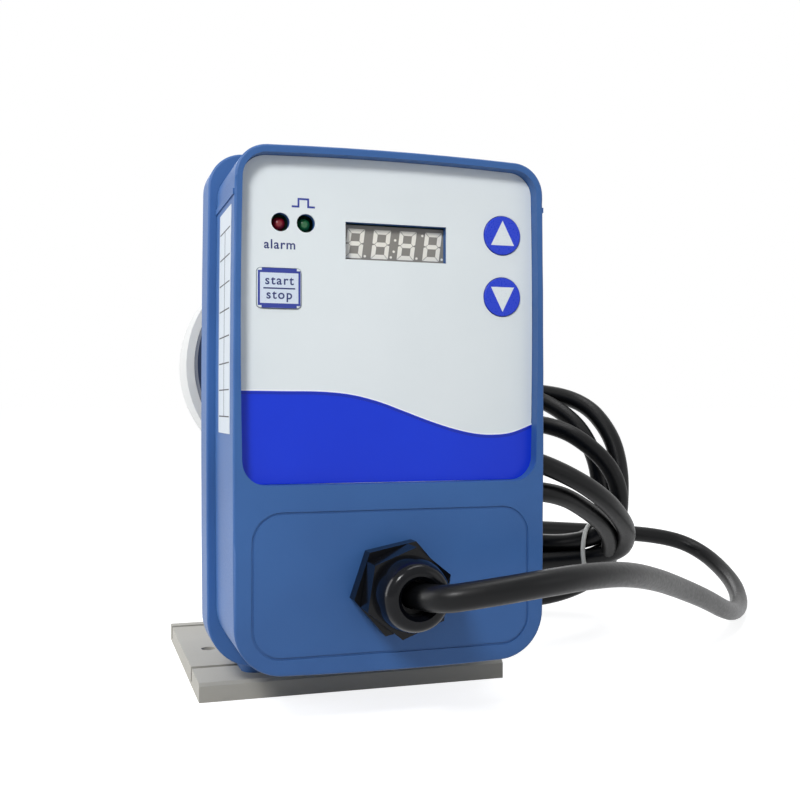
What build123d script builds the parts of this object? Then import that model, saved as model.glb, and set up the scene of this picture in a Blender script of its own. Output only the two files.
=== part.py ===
from build123d import *
import math
import os

os.makedirs("parts", exist_ok=True)

# Solenoid diaphragm metering pump, in millimetres. The origin is the centre of the base plate's
# underside, +Z is up, the control panel faces -Y and the pump head is at the +Y end.

# Base plate
base_width = 130.6
base_depth = 120.0
base_height = 7.7
groove_width = 3.6
groove_depth = 6.0
front_groove_inset = 26.8
rear_groove_inset = 7.7
base_chamfer = 1.2
mount_hole_radius = 3.25
mount_hole_spacing = 108.0

# Front cover
front_overhang = 52.5
cover_width = 120.0
cover_bottom = 21.0
cover_height = 191.2
cover_depth = 46.0
cover_wall = 2.8
side_bow = 0.8
end_bow = 1.3
cover_top_radius = 12.0
cover_bottom_radius = 18.0
cover_edge_radius = 0.9
field_wall = 3.0
side_rib_height = 2.0
side_rib_stand = 0.8
side_rib_z = 193.9

# Panel recess, its overlay and what shows through it
recess_rim = 2.75
recess_bottom = 89.6
recess_depth = 5.0
recess_bottom_radius = 9.0
recess_bow = 0.2
overlay_thickness = 0.6
overlay_gap = 0.15
panel_wall = 2.8
window_width = 39.5
window_height = 13.8
window_x = 1.8
window_z = 179.1
led_hole_radius = 3.4
led_z = 184.6
alarm_led_inset = 17.8
pulse_led_inset = 27.2

# Keys
round_key_diameter = 14.9
key_inset = 15.6
up_key_z = 183.9
down_key_z = 160.2
start_key_inset = 17.3
start_key_z = 160.6
start_key_width = 16.2
start_key_height = 14.4
start_key_radius = 1.6
key_thickness = 1.8
key_stand = 0.6
key_gap = 0.25
key_travel = 0.5
key_spare = 0.2
stem_radius = 2.0
stem_gap = 0.3

# Lower field: a shallow groove round the gland
field_width = 106.6
field_bottom = 27.5
field_height = 52.7
field_radius = 11.0
field_groove_width = 0.9
field_groove_depth = 0.5

# Control board and what stands on it
module_width = 40.2
module_height = 12.8
module_depth = 7.0
module_gap = 0.1
board_width = 98.0
board_bottom = 99.0
board_top = 196.0
board_thickness = 1.6
standoff_radius = 3.0
standoff_spacing = 36.0
standoff_inset = 4.0
board_screw_radius = 1.45
board_screw_head_radius = 2.8
board_screw_head_height = 2.0
led_radius = 2.5
led_flange_radius = 2.9
led_flange_height = 1.0
led_sink = 1.4
switch_size = 6.0
switch_height = 3.5
actuator_radius = 1.75
actuator_gap = 0.7

# Rear housing: flange, casing, pedestal and foot
flange_width = 126.8
flange_bottom = 13.6
flange_height = 205.3
flange_depth = 17.0
flange_radius = 14.0
flange_bottom_radius = 20.0
flange_wall = 3.0
gasket_thickness = 1.0
gasket_width = 2.2
gasket_inset = 0.4
axis_z = 139.0
casing_size = 94.0
casing_radius = 15.0
casing_length = 97.0
rib_stand = 3.0
rib_thickness = 2.2
rib_count = 5
rib_pitch = 14.0
wire_hole_drop = 30.0
pedestal_width = 68.0
pedestal_length = 84.0
pedestal_wall = 4.0
foot_width = 92.0
foot_height = 6.0
foot_radius = 6.0
foot_screw_spacing_x = 80.0
foot_screw_spacing_y = 40.0
foot_screw_radius = 2.5
foot_screw_head_radius = 4.4
foot_screw_head_height = 3.2
foot_screw_depth = 5.5
cover_screw_inset = 9.0
cover_screw_foot = 12.0
cover_screw_head = 9.2
cover_screw_radius = 1.9
cover_screw_head_radius = 3.6
cover_screw_head_height = 2.4
boss_radius = 4.6
boss_hole_depth = 14.0

# Solenoid
solenoid_start = 11.0
yoke_radius = 41.0
yoke_gap = 0.2
yoke_length = 72.0
yoke_wall = 5.0
yoke_end = 6.0
bobbin_wall = 1.5
bobbin_flange = 2.0
winding_radius = 34.0
armature_radius = 15.0
armature_length = 34.0
armature_gap = 0.4
armature_chamfer = 1.0
stroke = 1.5
stroke_spare = 0.3
pole_plate = 6.0
shaft_radius = 4.0
shaft_gap = 0.05
bush_radius = 6.0
bush_length = 15.0
spring_wire = 1.2
spring_radius = 6.6
spring_turns = 4.5
spring_pocket = 12.0
spring_gap = 0.1
pocket_radius = 8.2

# Head adapter, diaphragm and pump head
adapter_radius = 53.6
adapter_depth = 16.0
adapter_edge = 1.5
spigot_wall = 9.0
shaft_hole_radius = 5.5
flex_radius = 36.0
flex_depth = 9.0
diaphragm_radius = 43.0
diaphragm_thickness = 2.4
diaphragm_sink = 1.0
hub_radius = 12.0
hub_depth = 4.0
support_radius = 16.0
support_thickness = 3.0
head_radius = 57.5
head_depth = 38.0
head_flat = 53.0
head_edge = 3.0
chamber_radius = 34.0
chamber_depth = 2.0
port_radius = 3.0
passage_radius = 2.4
head_screw_radius = 3.0
head_screw_circle = 48.0
head_screw_head_radius = 5.0
head_screw_head_height = 6.0
head_screw_bite = 14.0
screw_washer_radius = 6.4
screw_washer_height = 1.2
counterbore_gap = 0.3
screw_spare = 1.0

# Check valves
valve_set = 19.0
spigot_radius = 10.0
spigot_length = 16.0
collar_radius = 16.0
collar_height = 14.0
thread_radius = 12.0
thread_length = 14.0
valve_bore = 4.0
seat_radius = 8.0
seat_height = 5.0
seat_bore = 3.2
seal_height = 1.2
ball_radius = 4.75
ball_gap = 0.02
ball_lift = 2.0
cage_radius = 5.6
cage_spare = 0.3
nut_radius = 17.0
nut_height = 22.0
nut_lip = 5.0
nut_gap = 0.1
nut_grips = 12
nut_grip_out = 1.2
nut_grip_radius = 2.6
nut_lip_inset = 1.2
seal_width = 2.0
barb_flange_height = 3.0
barb_flange_radius = 11.4
barb_radius = 6.2
barb_ridge = 1.1
barb_ridges = 4
barb_length = 26.0
barb_pitch = 4.0
barb_slope = 0.7

# Bleed screw
bleed_x = 0.0
bleed_z = 163.0
bleed_stem_radius = 4.0
bleed_stem_length = 14.0
bleed_gap = 0.05
bleed_knob_radius = 9.5
bleed_knob_height = 11.0
bleed_knob_gap = 0.4
bleed_grips = 10
bleed_grip_out = 0.6
bleed_grip_radius = 1.5
bleed_knob_edge = 1.2

# Cable gland
gland_z = 52.0
gland_hex = 31.0
gland_hex_height = 6.5
gland_turn = 11.0
gland_thread = 12.5
gland_hole_gap = 0.1
gland_tail = 11.0
gland_bore = 7.5
gland_nose_thread = 11.4
gland_nose_length = 8.0
nut_hex = 28.5
nut_turn = 10.0
nut_start = 0.4
nut_hex_height = 10.0
nut_dome_height = 11.5
dome_share = 0.93
dome_bulge = 0.62
dome_waist = 0.94
mouth_lip = 1.6
mouth_chamfer = 1.4
nut_mouth_radius = 10.4
nut_mouth_bore = 6.4
seal_length = 6.0
gland_seal_inset = 1.5
locknut_hex = 31.0
locknut_height = 5.0

# Mains cord: route points, in mm back from the cover's face and up from the floor
cord_diameter = 9.6
bend_share = 0.45
lead_route = [
    (0.0, -9.5, 52.0),
    (0.5, -34.0, 52.0),
    (20.0, -41.0, 55.2),
    (42.0, -41.0, 57.6),
    (63.0, -32.0, 57.8),
    (87.0, -15.0, 55.0),
    (114.0, 10.0, 47.5),
    (144.0, 40.0, 36.0),
    (177.0, 71.0, 25.0),
    (210.0, 104.0, 14.0),
    (239.0, 131.0, 7.6),
    (262.0, 156.0, 8.0),
    (273.0, 184.0, 14.0),
    (266.0, 213.0, 22.0),
    (246.0, 232.0, 29.0),
    (220.0, 238.0, 34.0),
    (192.0, 236.0, 37.5),
    (165.0, 230.0, 38.5),
    (140.0, 227.0, 41.0),
    (120.0, 229.0, 48.0),
    (105.0, 234.0, 57.0),
]
tail_route = [
    (138.0, 181.5, 7.5),
    (124.0, 185.0, 7.0),
    (111.0, 189.0, 11.0),
    (102.0, 192.0, 16.5),
    (94.0, 195.0, 19.0),
]
# Hank of cord: flat turns, each leaning its own way about a line through its point. A row gives
# the point, the line's heading, the lean, and the turn's corners along that line and up from it.
hank_point = (162.5, 156.3, 39.0)
hank_heading = -45.0
low_point = (146.0, 139.0, 41.0)
low_heading = 0.0
hank_band = 9.6
hank_turns = [
    (
        hank_point,
        hank_heading,
        17.0,
        [(0, 0), (-22, -3), (-48, -4), (-76, 4), (-97, 22), (-105, 46), (-97, 70), (-75, 88)]
        + [(-46, 93), (-12, 86), (6, 67), (13.5, 46), (15, 24), (11, 6)],
    ),
    (
        hank_point,
        hank_heading,
        12.0,
        [(0, -1), (-20, -8), (-44, -12), (-70, -5), (-91, 12), (-99, 36), (-92, 62), (-72, 82)]
        + [(-44, 89), (-15, 74), (-1, 54), (4, 34), (7, 16), (5, 4)],
    ),
    (
        hank_point,
        hank_heading,
        -10.0,
        [(0, 0), (-24, -4), (-50, -5), (-78, 3), (-98, 20), (-100, 42), (-80, 62)]
        + [(-46, 72), (-14, 69), (6, 56), (16.5, 42), (19, 25), (15, 7)],
    ),
    (
        hank_point,
        hank_heading,
        -60.0,
        [(2, 0), (-24, -2), (-48, 8), (-68, 28), (-76, 52), (-72, 76), (-60, 96), (-44, 108)]
        + [(-20, 113), (0, 107), (16, 88), (25, 66), (28, 44), (27, 24), (22, 7)],
    ),
    (
        low_point,
        low_heading,
        -50.4,
        [(-14, -52), (-38, -49), (-60, -36), (-78, -14), (-86, 12), (-80, 38), (-58, 58)]
        + [(-32, 54), (-12, 40), (6, 24), (19, 4), (25, -18), (20, -36), (6, -48)],
    ),
]
tie_radius = 13.0
tie_wire = 1.2
plug_radius = 19.0
plug_length = 42.0
plug_edge = 3.0
boot_share = 0.6
pin_edge = 1.2
boot_length = 20.0
boot_radius = 7.0
pin_radius = 2.4
pin_length = 19.0
pin_spacing = 19.0
plug_heading = 161.0

# Places worked out from the sizes above
alarm_led_x = alarm_led_inset - cover_width / 2
pulse_led_x = pulse_led_inset - cover_width / 2
key_x = cover_width / 2 - key_inset
start_key_x = start_key_inset - cover_width / 2
cover_screw_x = cover_width / 2 - cover_screw_inset
cover_screw_low = cover_bottom + cover_screw_foot
cover_screw_high = cover_bottom + cover_height - cover_screw_head
front_y = -base_depth / 2 - front_overhang
cover_top = cover_bottom + cover_height
cover_back_y = front_y + cover_depth
flange_y = cover_back_y
flange_top = flange_bottom + flange_height
casing_y = flange_y + flange_depth
casing_back_y = casing_y + casing_length
pedestal_y = casing_y + pedestal_length / 2
overlay_y = front_y + recess_depth
panel_y = overlay_y + overlay_thickness
panel_back_y = panel_y + panel_wall
module_y = panel_back_y + module_gap
board_y = module_y + module_depth
key_y = overlay_y - key_stand
key_back_y = key_y + key_thickness
pocket_y = key_back_y + key_travel + key_spare
head_y = casing_back_y + adapter_depth
head_back_y = head_y + head_depth
yoke_y = casing_y + solenoid_start
yoke_back_y = yoke_y + yoke_length
pole_y = yoke_back_y - pole_plate
bobbin_bore = armature_radius + armature_gap
bobbin_y = yoke_y + yoke_end
armature_y = bobbin_y + stroke_spare
armature_back_y = armature_y + armature_length
pole_front_y = armature_back_y + stroke + stroke_spare
diaphragm_y = head_y - diaphragm_sink
hub_y = diaphragm_y - hub_depth
support_y = hub_y - support_thickness
valve_y = head_y + valve_set
suction_face_z = axis_z - head_flat
discharge_face_z = axis_z + head_flat
gland_y = front_y
nut_y = gland_y - gland_hex_height - nut_start
nut_dome_y = nut_y - nut_hex_height
nut_mouth_y = nut_dome_y - nut_dome_height


def front_plane(y):
    """Plane across the pump at y, seen from the front: its normal is -Y."""
    return Plane.XZ.offset(-y)


def export(part, node):
    part.part.label = node
    export_step(part.part, f"parts/{node}.step")


def bowed_outline(width, low, high, low_bow, high_bow, low_radius, high_radius):
    """Rectangle with gently bowed sides and rounded corners, in the sketch in hand."""
    half = width / 2
    side = half - side_bow
    with BuildLine() as outline:
        ThreePointArc((-side, low + low_bow), (0, low), (side, low + low_bow))
        ThreePointArc((side, low + low_bow), (half, (low + high) / 2), (side, high - high_bow))
        ThreePointArc((side, high - high_bow), (0, high), (-side, high - high_bow))
        ThreePointArc((-side, high - high_bow), (-half, (low + high) / 2), (-side, low + low_bow))
    make_face(outline.edges())
    fillet(vertices().sort_by(Axis.Y)[:2], low_radius)
    fillet(vertices().sort_by(Axis.Y)[-2:], high_radius)


def cover_outline(inset):
    bowed_outline(
        cover_width - 2 * inset,
        cover_bottom + inset,
        cover_top - inset,
        end_bow,
        end_bow,
        cover_bottom_radius - inset,
        cover_top_radius - inset,
    )


def flange_outline(inset):
    bowed_outline(
        flange_width - 2 * inset,
        flange_bottom + inset,
        flange_top - inset,
        end_bow,
        end_bow,
        flange_bottom_radius - inset,
        flange_radius - inset,
    )


def recess_outline(inset):
    bowed_outline(
        cover_width - 2 * recess_rim - 2 * inset,
        recess_bottom + inset,
        cover_top - recess_rim - inset,
        recess_bow,
        end_bow,
        recess_bottom_radius - inset,
        cover_top_radius - recess_rim - inset,
    )


def disc(y, radius, depth, centre=(0, axis_z), mode=Mode.ADD):
    """Round disc across the pump, with its front face at y."""
    with BuildSketch(front_plane(y)) as profile:
        with Locations(centre):
            Circle(radius)
    extrude(profile.sketch, amount=-depth, mode=mode)


def plate(y, width, height, depth, centre, radius=0.0, mode=Mode.ADD):
    """Rectangular plate across the pump, with its front face at y."""
    with BuildSketch(front_plane(y)) as profile:
        with Locations(centre):
            if radius > 0:
                RectangleRounded(width, height, radius)
            else:
                Rectangle(width, height)
    extrude(profile.sketch, amount=-depth, mode=mode)


def upright(z, radius, height, centre, mode=Mode.ADD):
    """Round disc with a vertical axis, with its lower face at z."""
    with BuildSketch(Plane.XY.offset(z)) as profile:
        with Locations(centre):
            Circle(radius)
    extrude(profile.sketch, amount=height, mode=mode)


# Base plate: an extruded section with two grooves across it
foot_screw_places = [
    (side * foot_screw_spacing_x / 2, pedestal_y + end * foot_screw_spacing_y / 2)
    for side in (-1, 1)
    for end in (-1, 1)
]
with BuildPart() as base_plate:
    with BuildSketch(Plane.YZ.offset(-base_width / 2)):
        with Locations((0, base_height / 2)):
            Rectangle(base_depth, base_height)
        with Locations(
            (front_groove_inset - base_depth / 2, base_height),
            (base_depth / 2 - rear_groove_inset, base_height),
        ):
            Rectangle(groove_width, 2 * groove_depth, mode=Mode.SUBTRACT)
    extrude(amount=base_width)
    top_edges = edges().filter_by(Axis.X).group_by(Axis.Z)[-1]
    chamfer(top_edges.sort_by(Axis.Y)[0], base_chamfer)
    with BuildSketch(Plane.XY):
        with GridLocations(mount_hole_spacing, 1, 2, 1):
            Circle(mount_hole_radius)
    extrude(amount=base_height, mode=Mode.SUBTRACT)
    with BuildSketch(Plane.XY.offset(base_height - foot_screw_depth)):
        with Locations(*foot_screw_places):
            Circle(foot_screw_radius)
    extrude(amount=foot_screw_depth, mode=Mode.SUBTRACT)
export(base_plate, "base_plate")

foot_top = base_height + foot_height
with BuildPart() as base_screws:
    with BuildSketch(Plane.XY.offset(base_height - foot_screw_depth)):
        with Locations(*foot_screw_places):
            Circle(foot_screw_radius)
    extrude(amount=foot_screw_depth + foot_height)
    with BuildSketch(Plane.XY.offset(foot_top)):
        with Locations(*foot_screw_places):
            Circle(foot_screw_head_radius)
            RegularPolygon(foot_screw_radius, 6, mode=Mode.SUBTRACT)
    extrude(amount=foot_screw_head_height)
    with BuildSketch(Plane.XY.offset(foot_top)):
        with Locations(*foot_screw_places):
            Circle(foot_screw_head_radius)
    extrude(amount=foot_screw_head_height / 3)
export(base_screws, "base_screws")

# Front cover: bowed box with the panel recess above and the gland's field below
standoff_places = [
    (x, z)
    for x in (-standoff_spacing / 2, standoff_spacing / 2)
    for z in (board_bottom + standoff_inset, board_top - standoff_inset)
]
cover_screw_places = [
    (x, z) for x in (-cover_screw_x, cover_screw_x) for z in (cover_screw_low, cover_screw_high)
]
with BuildPart() as front_cover:
    with BuildSketch(front_plane(front_y)):
        cover_outline(0)
    extrude(amount=-cover_depth)
    fillet(faces().sort_by(Axis.Y)[0].edges(), cover_edge_radius)
    with BuildSketch(front_plane(panel_back_y)):
        cover_outline(cover_wall)
    extrude(amount=-(cover_back_y - panel_back_y), mode=Mode.SUBTRACT)
    lower_top = recess_bottom - cover_wall
    with BuildSketch(front_plane(front_y + field_wall)):
        cover_outline(cover_wall)
        with Locations((0, lower_top)):
            Rectangle(
                cover_width, cover_height, align=(Align.CENTER, Align.MIN), mode=Mode.SUBTRACT
            )
    extrude(amount=-(panel_back_y - front_y - field_wall), mode=Mode.SUBTRACT)
    with BuildSketch(front_plane(front_y)):
        recess_outline(0)
    extrude(amount=-(recess_depth + overlay_thickness), mode=Mode.SUBTRACT)
    # window, LED holes and key pockets
    plate(panel_y, window_width, window_height, panel_wall, (window_x, window_z), mode=Mode.SUBTRACT)
    for led_x in (alarm_led_x, pulse_led_x):
        disc(panel_y, led_hole_radius, panel_wall, (led_x, led_z), Mode.SUBTRACT)
    for key_z in (up_key_z, down_key_z):
        disc(
            panel_y,
            round_key_diameter / 2 + key_gap,
            pocket_y - panel_y,
            (key_x, key_z),
            Mode.SUBTRACT,
        )
        disc(panel_y, stem_radius + stem_gap, panel_wall, (key_x, key_z), Mode.SUBTRACT)
    plate(
        panel_y,
        start_key_width + 2 * key_gap,
        start_key_height + 2 * key_gap,
        pocket_y - panel_y,
        (start_key_x, start_key_z),
        start_key_radius + key_gap,
        Mode.SUBTRACT,
    )
    disc(panel_y, stem_radius + stem_gap, panel_wall, (start_key_x, start_key_z), Mode.SUBTRACT)
    # groove round the lower field, and the gland's hole
    field_centre = (0, field_bottom + field_height / 2)
    with BuildSketch(front_plane(front_y)):
        with Locations(field_centre):
            RectangleRounded(field_width, field_height, field_radius)
            RectangleRounded(
                field_width - 2 * field_groove_width,
                field_height - 2 * field_groove_width,
                field_radius - field_groove_width,
                mode=Mode.SUBTRACT,
            )
    extrude(amount=-field_groove_depth, mode=Mode.SUBTRACT)
    disc(front_y, gland_thread + gland_hole_gap, field_wall, (0, gland_z), Mode.SUBTRACT)
    # ribs on the sides, standoffs and screw bosses
    for side in (-1, 1):
        with BuildSketch(front_plane(front_y + cover_edge_radius)):
            with Locations((side * (cover_width / 2 - side_bow), side_rib_z)):
                Rectangle(2 * side_rib_stand, side_rib_height)
        extrude(amount=-(cover_depth - cover_edge_radius))
    with BuildSketch(front_plane(panel_back_y)):
        with Locations(*standoff_places):
            Circle(standoff_radius)
            Circle(board_screw_radius, mode=Mode.SUBTRACT)
    extrude(amount=-(board_y - panel_back_y))
    for place in cover_screw_places:
        start_y = panel_back_y if place[1] > lower_top else front_y + field_wall
        disc(start_y, boss_radius, cover_back_y - start_y, place)
        disc(cover_back_y - boss_hole_depth, cover_screw_radius, boss_hole_depth, place, Mode.SUBTRACT)
export(front_cover, "front_cover")

# Panel overlay: printed film in the recess, open at the window, the LEDs and the keys
with BuildPart() as panel_overlay:
    with BuildSketch(front_plane(overlay_y)):
        recess_outline(overlay_gap)
        with Locations((window_x, window_z)):
            Rectangle(window_width, window_height, mode=Mode.SUBTRACT)
        with Locations((alarm_led_x, led_z), (pulse_led_x, led_z)):
            Circle(led_hole_radius, mode=Mode.SUBTRACT)
        with Locations((key_x, up_key_z), (key_x, down_key_z)):
            Circle(round_key_diameter / 2 + key_gap, mode=Mode.SUBTRACT)
        with Locations((start_key_x, start_key_z)):
            RectangleRounded(
                start_key_width + 2 * key_gap,
                start_key_height + 2 * key_gap,
                start_key_radius + key_gap,
                mode=Mode.SUBTRACT,
            )
    extrude(amount=-overlay_thickness)
export(panel_overlay, "panel_overlay")

# Keys: a shallow cap in the overlay with a stem towards its switch
actuator_y = board_y - switch_height
stem_end_y = actuator_y - actuator_gap - key_travel
key_edge = 0.35
for node, key_z in (("up_key", up_key_z), ("down_key", down_key_z)):
    with BuildPart() as round_key:
        disc(key_y, round_key_diameter / 2, key_thickness, (key_x, key_z))
        fillet(faces().sort_by(Axis.Y)[0].edges(), key_edge)
        disc(key_back_y, stem_radius, stem_end_y - key_back_y, (key_x, key_z))
    export(round_key, node)

start_place = (start_key_x, start_key_z)
with BuildPart() as start_stop_key:
    plate(key_y, start_key_width, start_key_height, key_thickness, start_place, start_key_radius)
    fillet(faces().sort_by(Axis.Y)[0].edges(), key_edge)
    disc(key_back_y, stem_radius, stem_end_y - key_back_y, start_place)
export(start_stop_key, "start_stop_key")

# Display module, LEDs and key switches on the control board
with BuildPart() as display_module:
    plate(module_y, module_width, module_height, module_depth, (window_x, window_z))
export(display_module, "display_module")

led_tip_y = panel_y + led_sink
for node, led_x in (("alarm_led", alarm_led_x), ("pulse_led", pulse_led_x)):
    with BuildPart() as led:
        disc(led_tip_y, led_radius, board_y - led_tip_y, (led_x, led_z))
        fillet(faces().sort_by(Axis.Y)[0].edges(), led_radius - 0.1)
        disc(board_y - led_flange_height, led_flange_radius, led_flange_height, (led_x, led_z))
    export(led, node)

switch_places = [(key_x, up_key_z), (key_x, down_key_z), start_place]
with BuildPart() as key_switches:
    for place in switch_places:
        plate(actuator_y, switch_size, switch_size, switch_height, place)
        disc(actuator_y - actuator_gap, actuator_radius, actuator_gap, place)
export(key_switches, "key_switches")

board_height = board_top - board_bottom
board_middle = (0, (board_top + board_bottom) / 2)
board_back_y = board_y + board_thickness
with BuildPart() as control_board:
    plate(board_y, board_width, board_height, board_thickness, board_middle)
    for place in standoff_places:
        disc(board_y, board_screw_radius, board_thickness, place, Mode.SUBTRACT)
export(control_board, "control_board")

screw_reach = 6.0
with BuildPart() as board_screws:
    for place in standoff_places:
        disc(board_y - screw_reach, board_screw_radius, screw_reach + board_thickness, place)
        disc(board_back_y, board_screw_head_radius, board_screw_head_height, place)
export(board_screws, "board_screws")

# Rear housing: flange, ribbed casing round the solenoid, pedestal and foot
casing_middle = (0, axis_z)
casing_bottom = axis_z - casing_size / 2
head_screw_places = [
    (
        head_screw_circle * math.cos(math.radians(angle)),
        axis_z + head_screw_circle * math.sin(math.radians(angle)),
    )
    for angle in (45, 135, 225, 315)
]
screw_hole_end = casing_back_y - head_screw_bite
with BuildPart() as rear_housing:
    with BuildSketch(front_plane(flange_y + gasket_thickness / 2)):
        flange_outline(0)
    extrude(amount=-(flange_depth - gasket_thickness / 2))
    fillet(faces().sort_by(Axis.Y)[0].edges(), cover_edge_radius)
    with BuildSketch(front_plane(flange_y + gasket_thickness / 2)):
        cover_outline(cover_wall)
    extrude(amount=-(flange_depth - flange_wall - gasket_thickness / 2), mode=Mode.SUBTRACT)
    for place in cover_screw_places:
        disc(flange_y + gasket_thickness, boss_radius, flange_depth - gasket_thickness, place)
        disc(flange_y, cover_screw_radius, flange_depth, place, Mode.SUBTRACT)
    plate(casing_y, casing_size, casing_size, casing_length, casing_middle, casing_radius)
    # pedestal and foot
    with BuildSketch(Plane.XY.offset(base_height)):
        with Locations((0, pedestal_y)):
            Rectangle(pedestal_width, pedestal_length)
    extrude(amount=casing_bottom + casing_radius - base_height)
    with BuildSketch(Plane.XY.offset(base_height)):
        with Locations((0, pedestal_y)):
            RectangleRounded(foot_width, pedestal_length, foot_radius)
    extrude(amount=foot_height)
    with BuildSketch(Plane.XY.offset(base_height)):
        with Locations((0, pedestal_y)):
            Rectangle(pedestal_width - 2 * pedestal_wall, pedestal_length - 2 * pedestal_wall)
    extrude(amount=casing_bottom - base_height, mode=Mode.SUBTRACT)
    # cooling ribs round the casing
    for index in range(rib_count):
        plate(
            casing_y + rib_pitch * (index + 1),
            casing_size + 2 * rib_stand,
            casing_size + 2 * rib_stand,
            rib_thickness,
            casing_middle,
            casing_radius + rib_stand,
        )
    # bore for the solenoid, wire hole, pedestal space and screw holes
    disc(yoke_y, yoke_radius + yoke_gap, casing_back_y - yoke_y, mode=Mode.SUBTRACT)
    disc(flange_y, shaft_hole_radius, yoke_y - flange_y, (0, axis_z - wire_hole_drop), Mode.SUBTRACT)
    for place in head_screw_places:
        disc(screw_hole_end, head_screw_radius, head_screw_bite, place, Mode.SUBTRACT)
    with BuildSketch(Plane.XY.offset(base_height)):
        with Locations(*foot_screw_places):
            Circle(foot_screw_radius)
    extrude(amount=foot_height, mode=Mode.SUBTRACT)
export(rear_housing, "rear_housing")

with BuildPart() as cover_gasket:
    with BuildSketch(front_plane(cover_back_y)):
        cover_outline(gasket_inset)
    extrude(amount=-gasket_thickness / 2)
    with BuildSketch(front_plane(cover_back_y)):
        cover_outline(gasket_inset + gasket_width)
    extrude(amount=-gasket_thickness / 2, mode=Mode.SUBTRACT)
export(cover_gasket, "cover_gasket")

screw_tip_y = cover_back_y - boss_hole_depth + 2 * screw_spare
with BuildPart() as cover_screws:
    for place in cover_screw_places:
        disc(screw_tip_y, cover_screw_radius, casing_y - screw_tip_y, place)
        disc(casing_y, cover_screw_head_radius, cover_screw_head_height, place)
export(cover_screws, "cover_screws")

# Solenoid: yoke, winding on its bobbin, pole piece, armature and return spring
with BuildPart() as solenoid_yoke:
    disc(yoke_y, yoke_radius, yoke_length)
    disc(bobbin_y, yoke_radius - yoke_wall, yoke_length - yoke_end, mode=Mode.SUBTRACT)
export(solenoid_yoke, "solenoid_yoke")

bobbin_length = pole_y - bobbin_y
bobbin_radius = yoke_radius - yoke_wall
with BuildPart() as winding_bobbin:
    disc(bobbin_y, bobbin_bore + bobbin_wall, bobbin_length)
    disc(bobbin_y, bobbin_radius, bobbin_flange)
    disc(pole_y - bobbin_flange, bobbin_radius, bobbin_flange)
    disc(bobbin_y, bobbin_bore, bobbin_length, mode=Mode.SUBTRACT)
export(winding_bobbin, "winding_bobbin")

with BuildPart() as solenoid_winding:
    disc(bobbin_y + bobbin_flange, winding_radius, bobbin_length - 2 * bobbin_flange)
    disc(
        bobbin_y + bobbin_flange,
        bobbin_bore + bobbin_wall,
        bobbin_length - 2 * bobbin_flange,
        mode=Mode.SUBTRACT,
    )
export(solenoid_winding, "solenoid_winding")

with BuildPart() as pole_piece:
    disc(pole_y, bobbin_radius, pole_plate)
    disc(pole_front_y, bobbin_bore, pole_y - pole_front_y)
    disc(pole_front_y, bush_radius, yoke_back_y - pole_front_y, mode=Mode.SUBTRACT)
    disc(pole_front_y, pocket_radius, spring_pocket, mode=Mode.SUBTRACT)
export(pole_piece, "pole_piece")

with BuildPart() as guide_bush:
    disc(yoke_back_y - bush_length, bush_radius, bush_length)
    disc(yoke_back_y - bush_length, shaft_radius + shaft_gap, bush_length, mode=Mode.SUBTRACT)
export(guide_bush, "guide_bush")

shaft_start = armature_y + armature_length / 3
with BuildPart() as armature:
    disc(armature_y, armature_radius, armature_length)
    chamfer(edges().filter_by(GeomType.CIRCLE).sort_by(Axis.Y)[0], armature_chamfer)
    disc(shaft_start, shaft_radius, armature_back_y - shaft_start, mode=Mode.SUBTRACT)
export(armature, "armature")

with BuildPart() as plunger_shaft:
    disc(shaft_start, shaft_radius, diaphragm_y - shaft_start)
export(plunger_shaft, "plunger_shaft")

spring_y = armature_back_y + spring_wire / 2 + spring_gap
spring_length = pole_front_y + spring_pocket - armature_back_y - spring_wire - 2 * spring_gap
with BuildPart() as return_spring:
    with BuildLine() as coil_line:
        Helix(
            spring_length / spring_turns,
            spring_length,
            spring_radius,
            center=(0, spring_y, axis_z),
            direction=(0, 1, 0),
        )
    with BuildSketch(Plane(origin=coil_line.line @ 0, z_dir=coil_line.line % 0)):
        Circle(spring_wire / 2)
    sweep(path=coil_line.line, is_frenet=True)
export(return_spring, "return_spring")

# Head adapter: dark ring between the casing and the head, with room for the diaphragm to flex
spigot_y = yoke_back_y
with BuildPart() as head_adapter:
    disc(casing_back_y, adapter_radius, adapter_depth)
    fillet(faces().sort_by(Axis.Y)[-1].edges(), adapter_edge)
    disc(spigot_y, yoke_radius, casing_back_y - spigot_y)
    disc(
        spigot_y,
        yoke_radius - spigot_wall,
        support_y - stroke_spare - spigot_y - flex_depth / 2,
        mode=Mode.SUBTRACT,
    )
    disc(spigot_y, shaft_hole_radius, head_y - spigot_y, mode=Mode.SUBTRACT)
    disc(head_y - flex_depth, flex_radius, flex_depth, mode=Mode.SUBTRACT)
    disc(diaphragm_y, diaphragm_radius, diaphragm_sink, mode=Mode.SUBTRACT)
    for place in head_screw_places:
        disc(casing_back_y, head_screw_radius, adapter_depth, place, Mode.SUBTRACT)
export(head_adapter, "head_adapter")

with BuildPart() as support_disc:
    disc(support_y, support_radius, support_thickness)
    disc(support_y, shaft_radius, support_thickness, mode=Mode.SUBTRACT)
export(support_disc, "support_disc")

with BuildPart() as diaphragm:
    disc(diaphragm_y, diaphragm_radius, diaphragm_thickness)
    disc(hub_y, hub_radius, hub_depth)
    disc(hub_y, shaft_radius + shaft_gap, hub_depth, mode=Mode.SUBTRACT)
export(diaphragm, "diaphragm")

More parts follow.
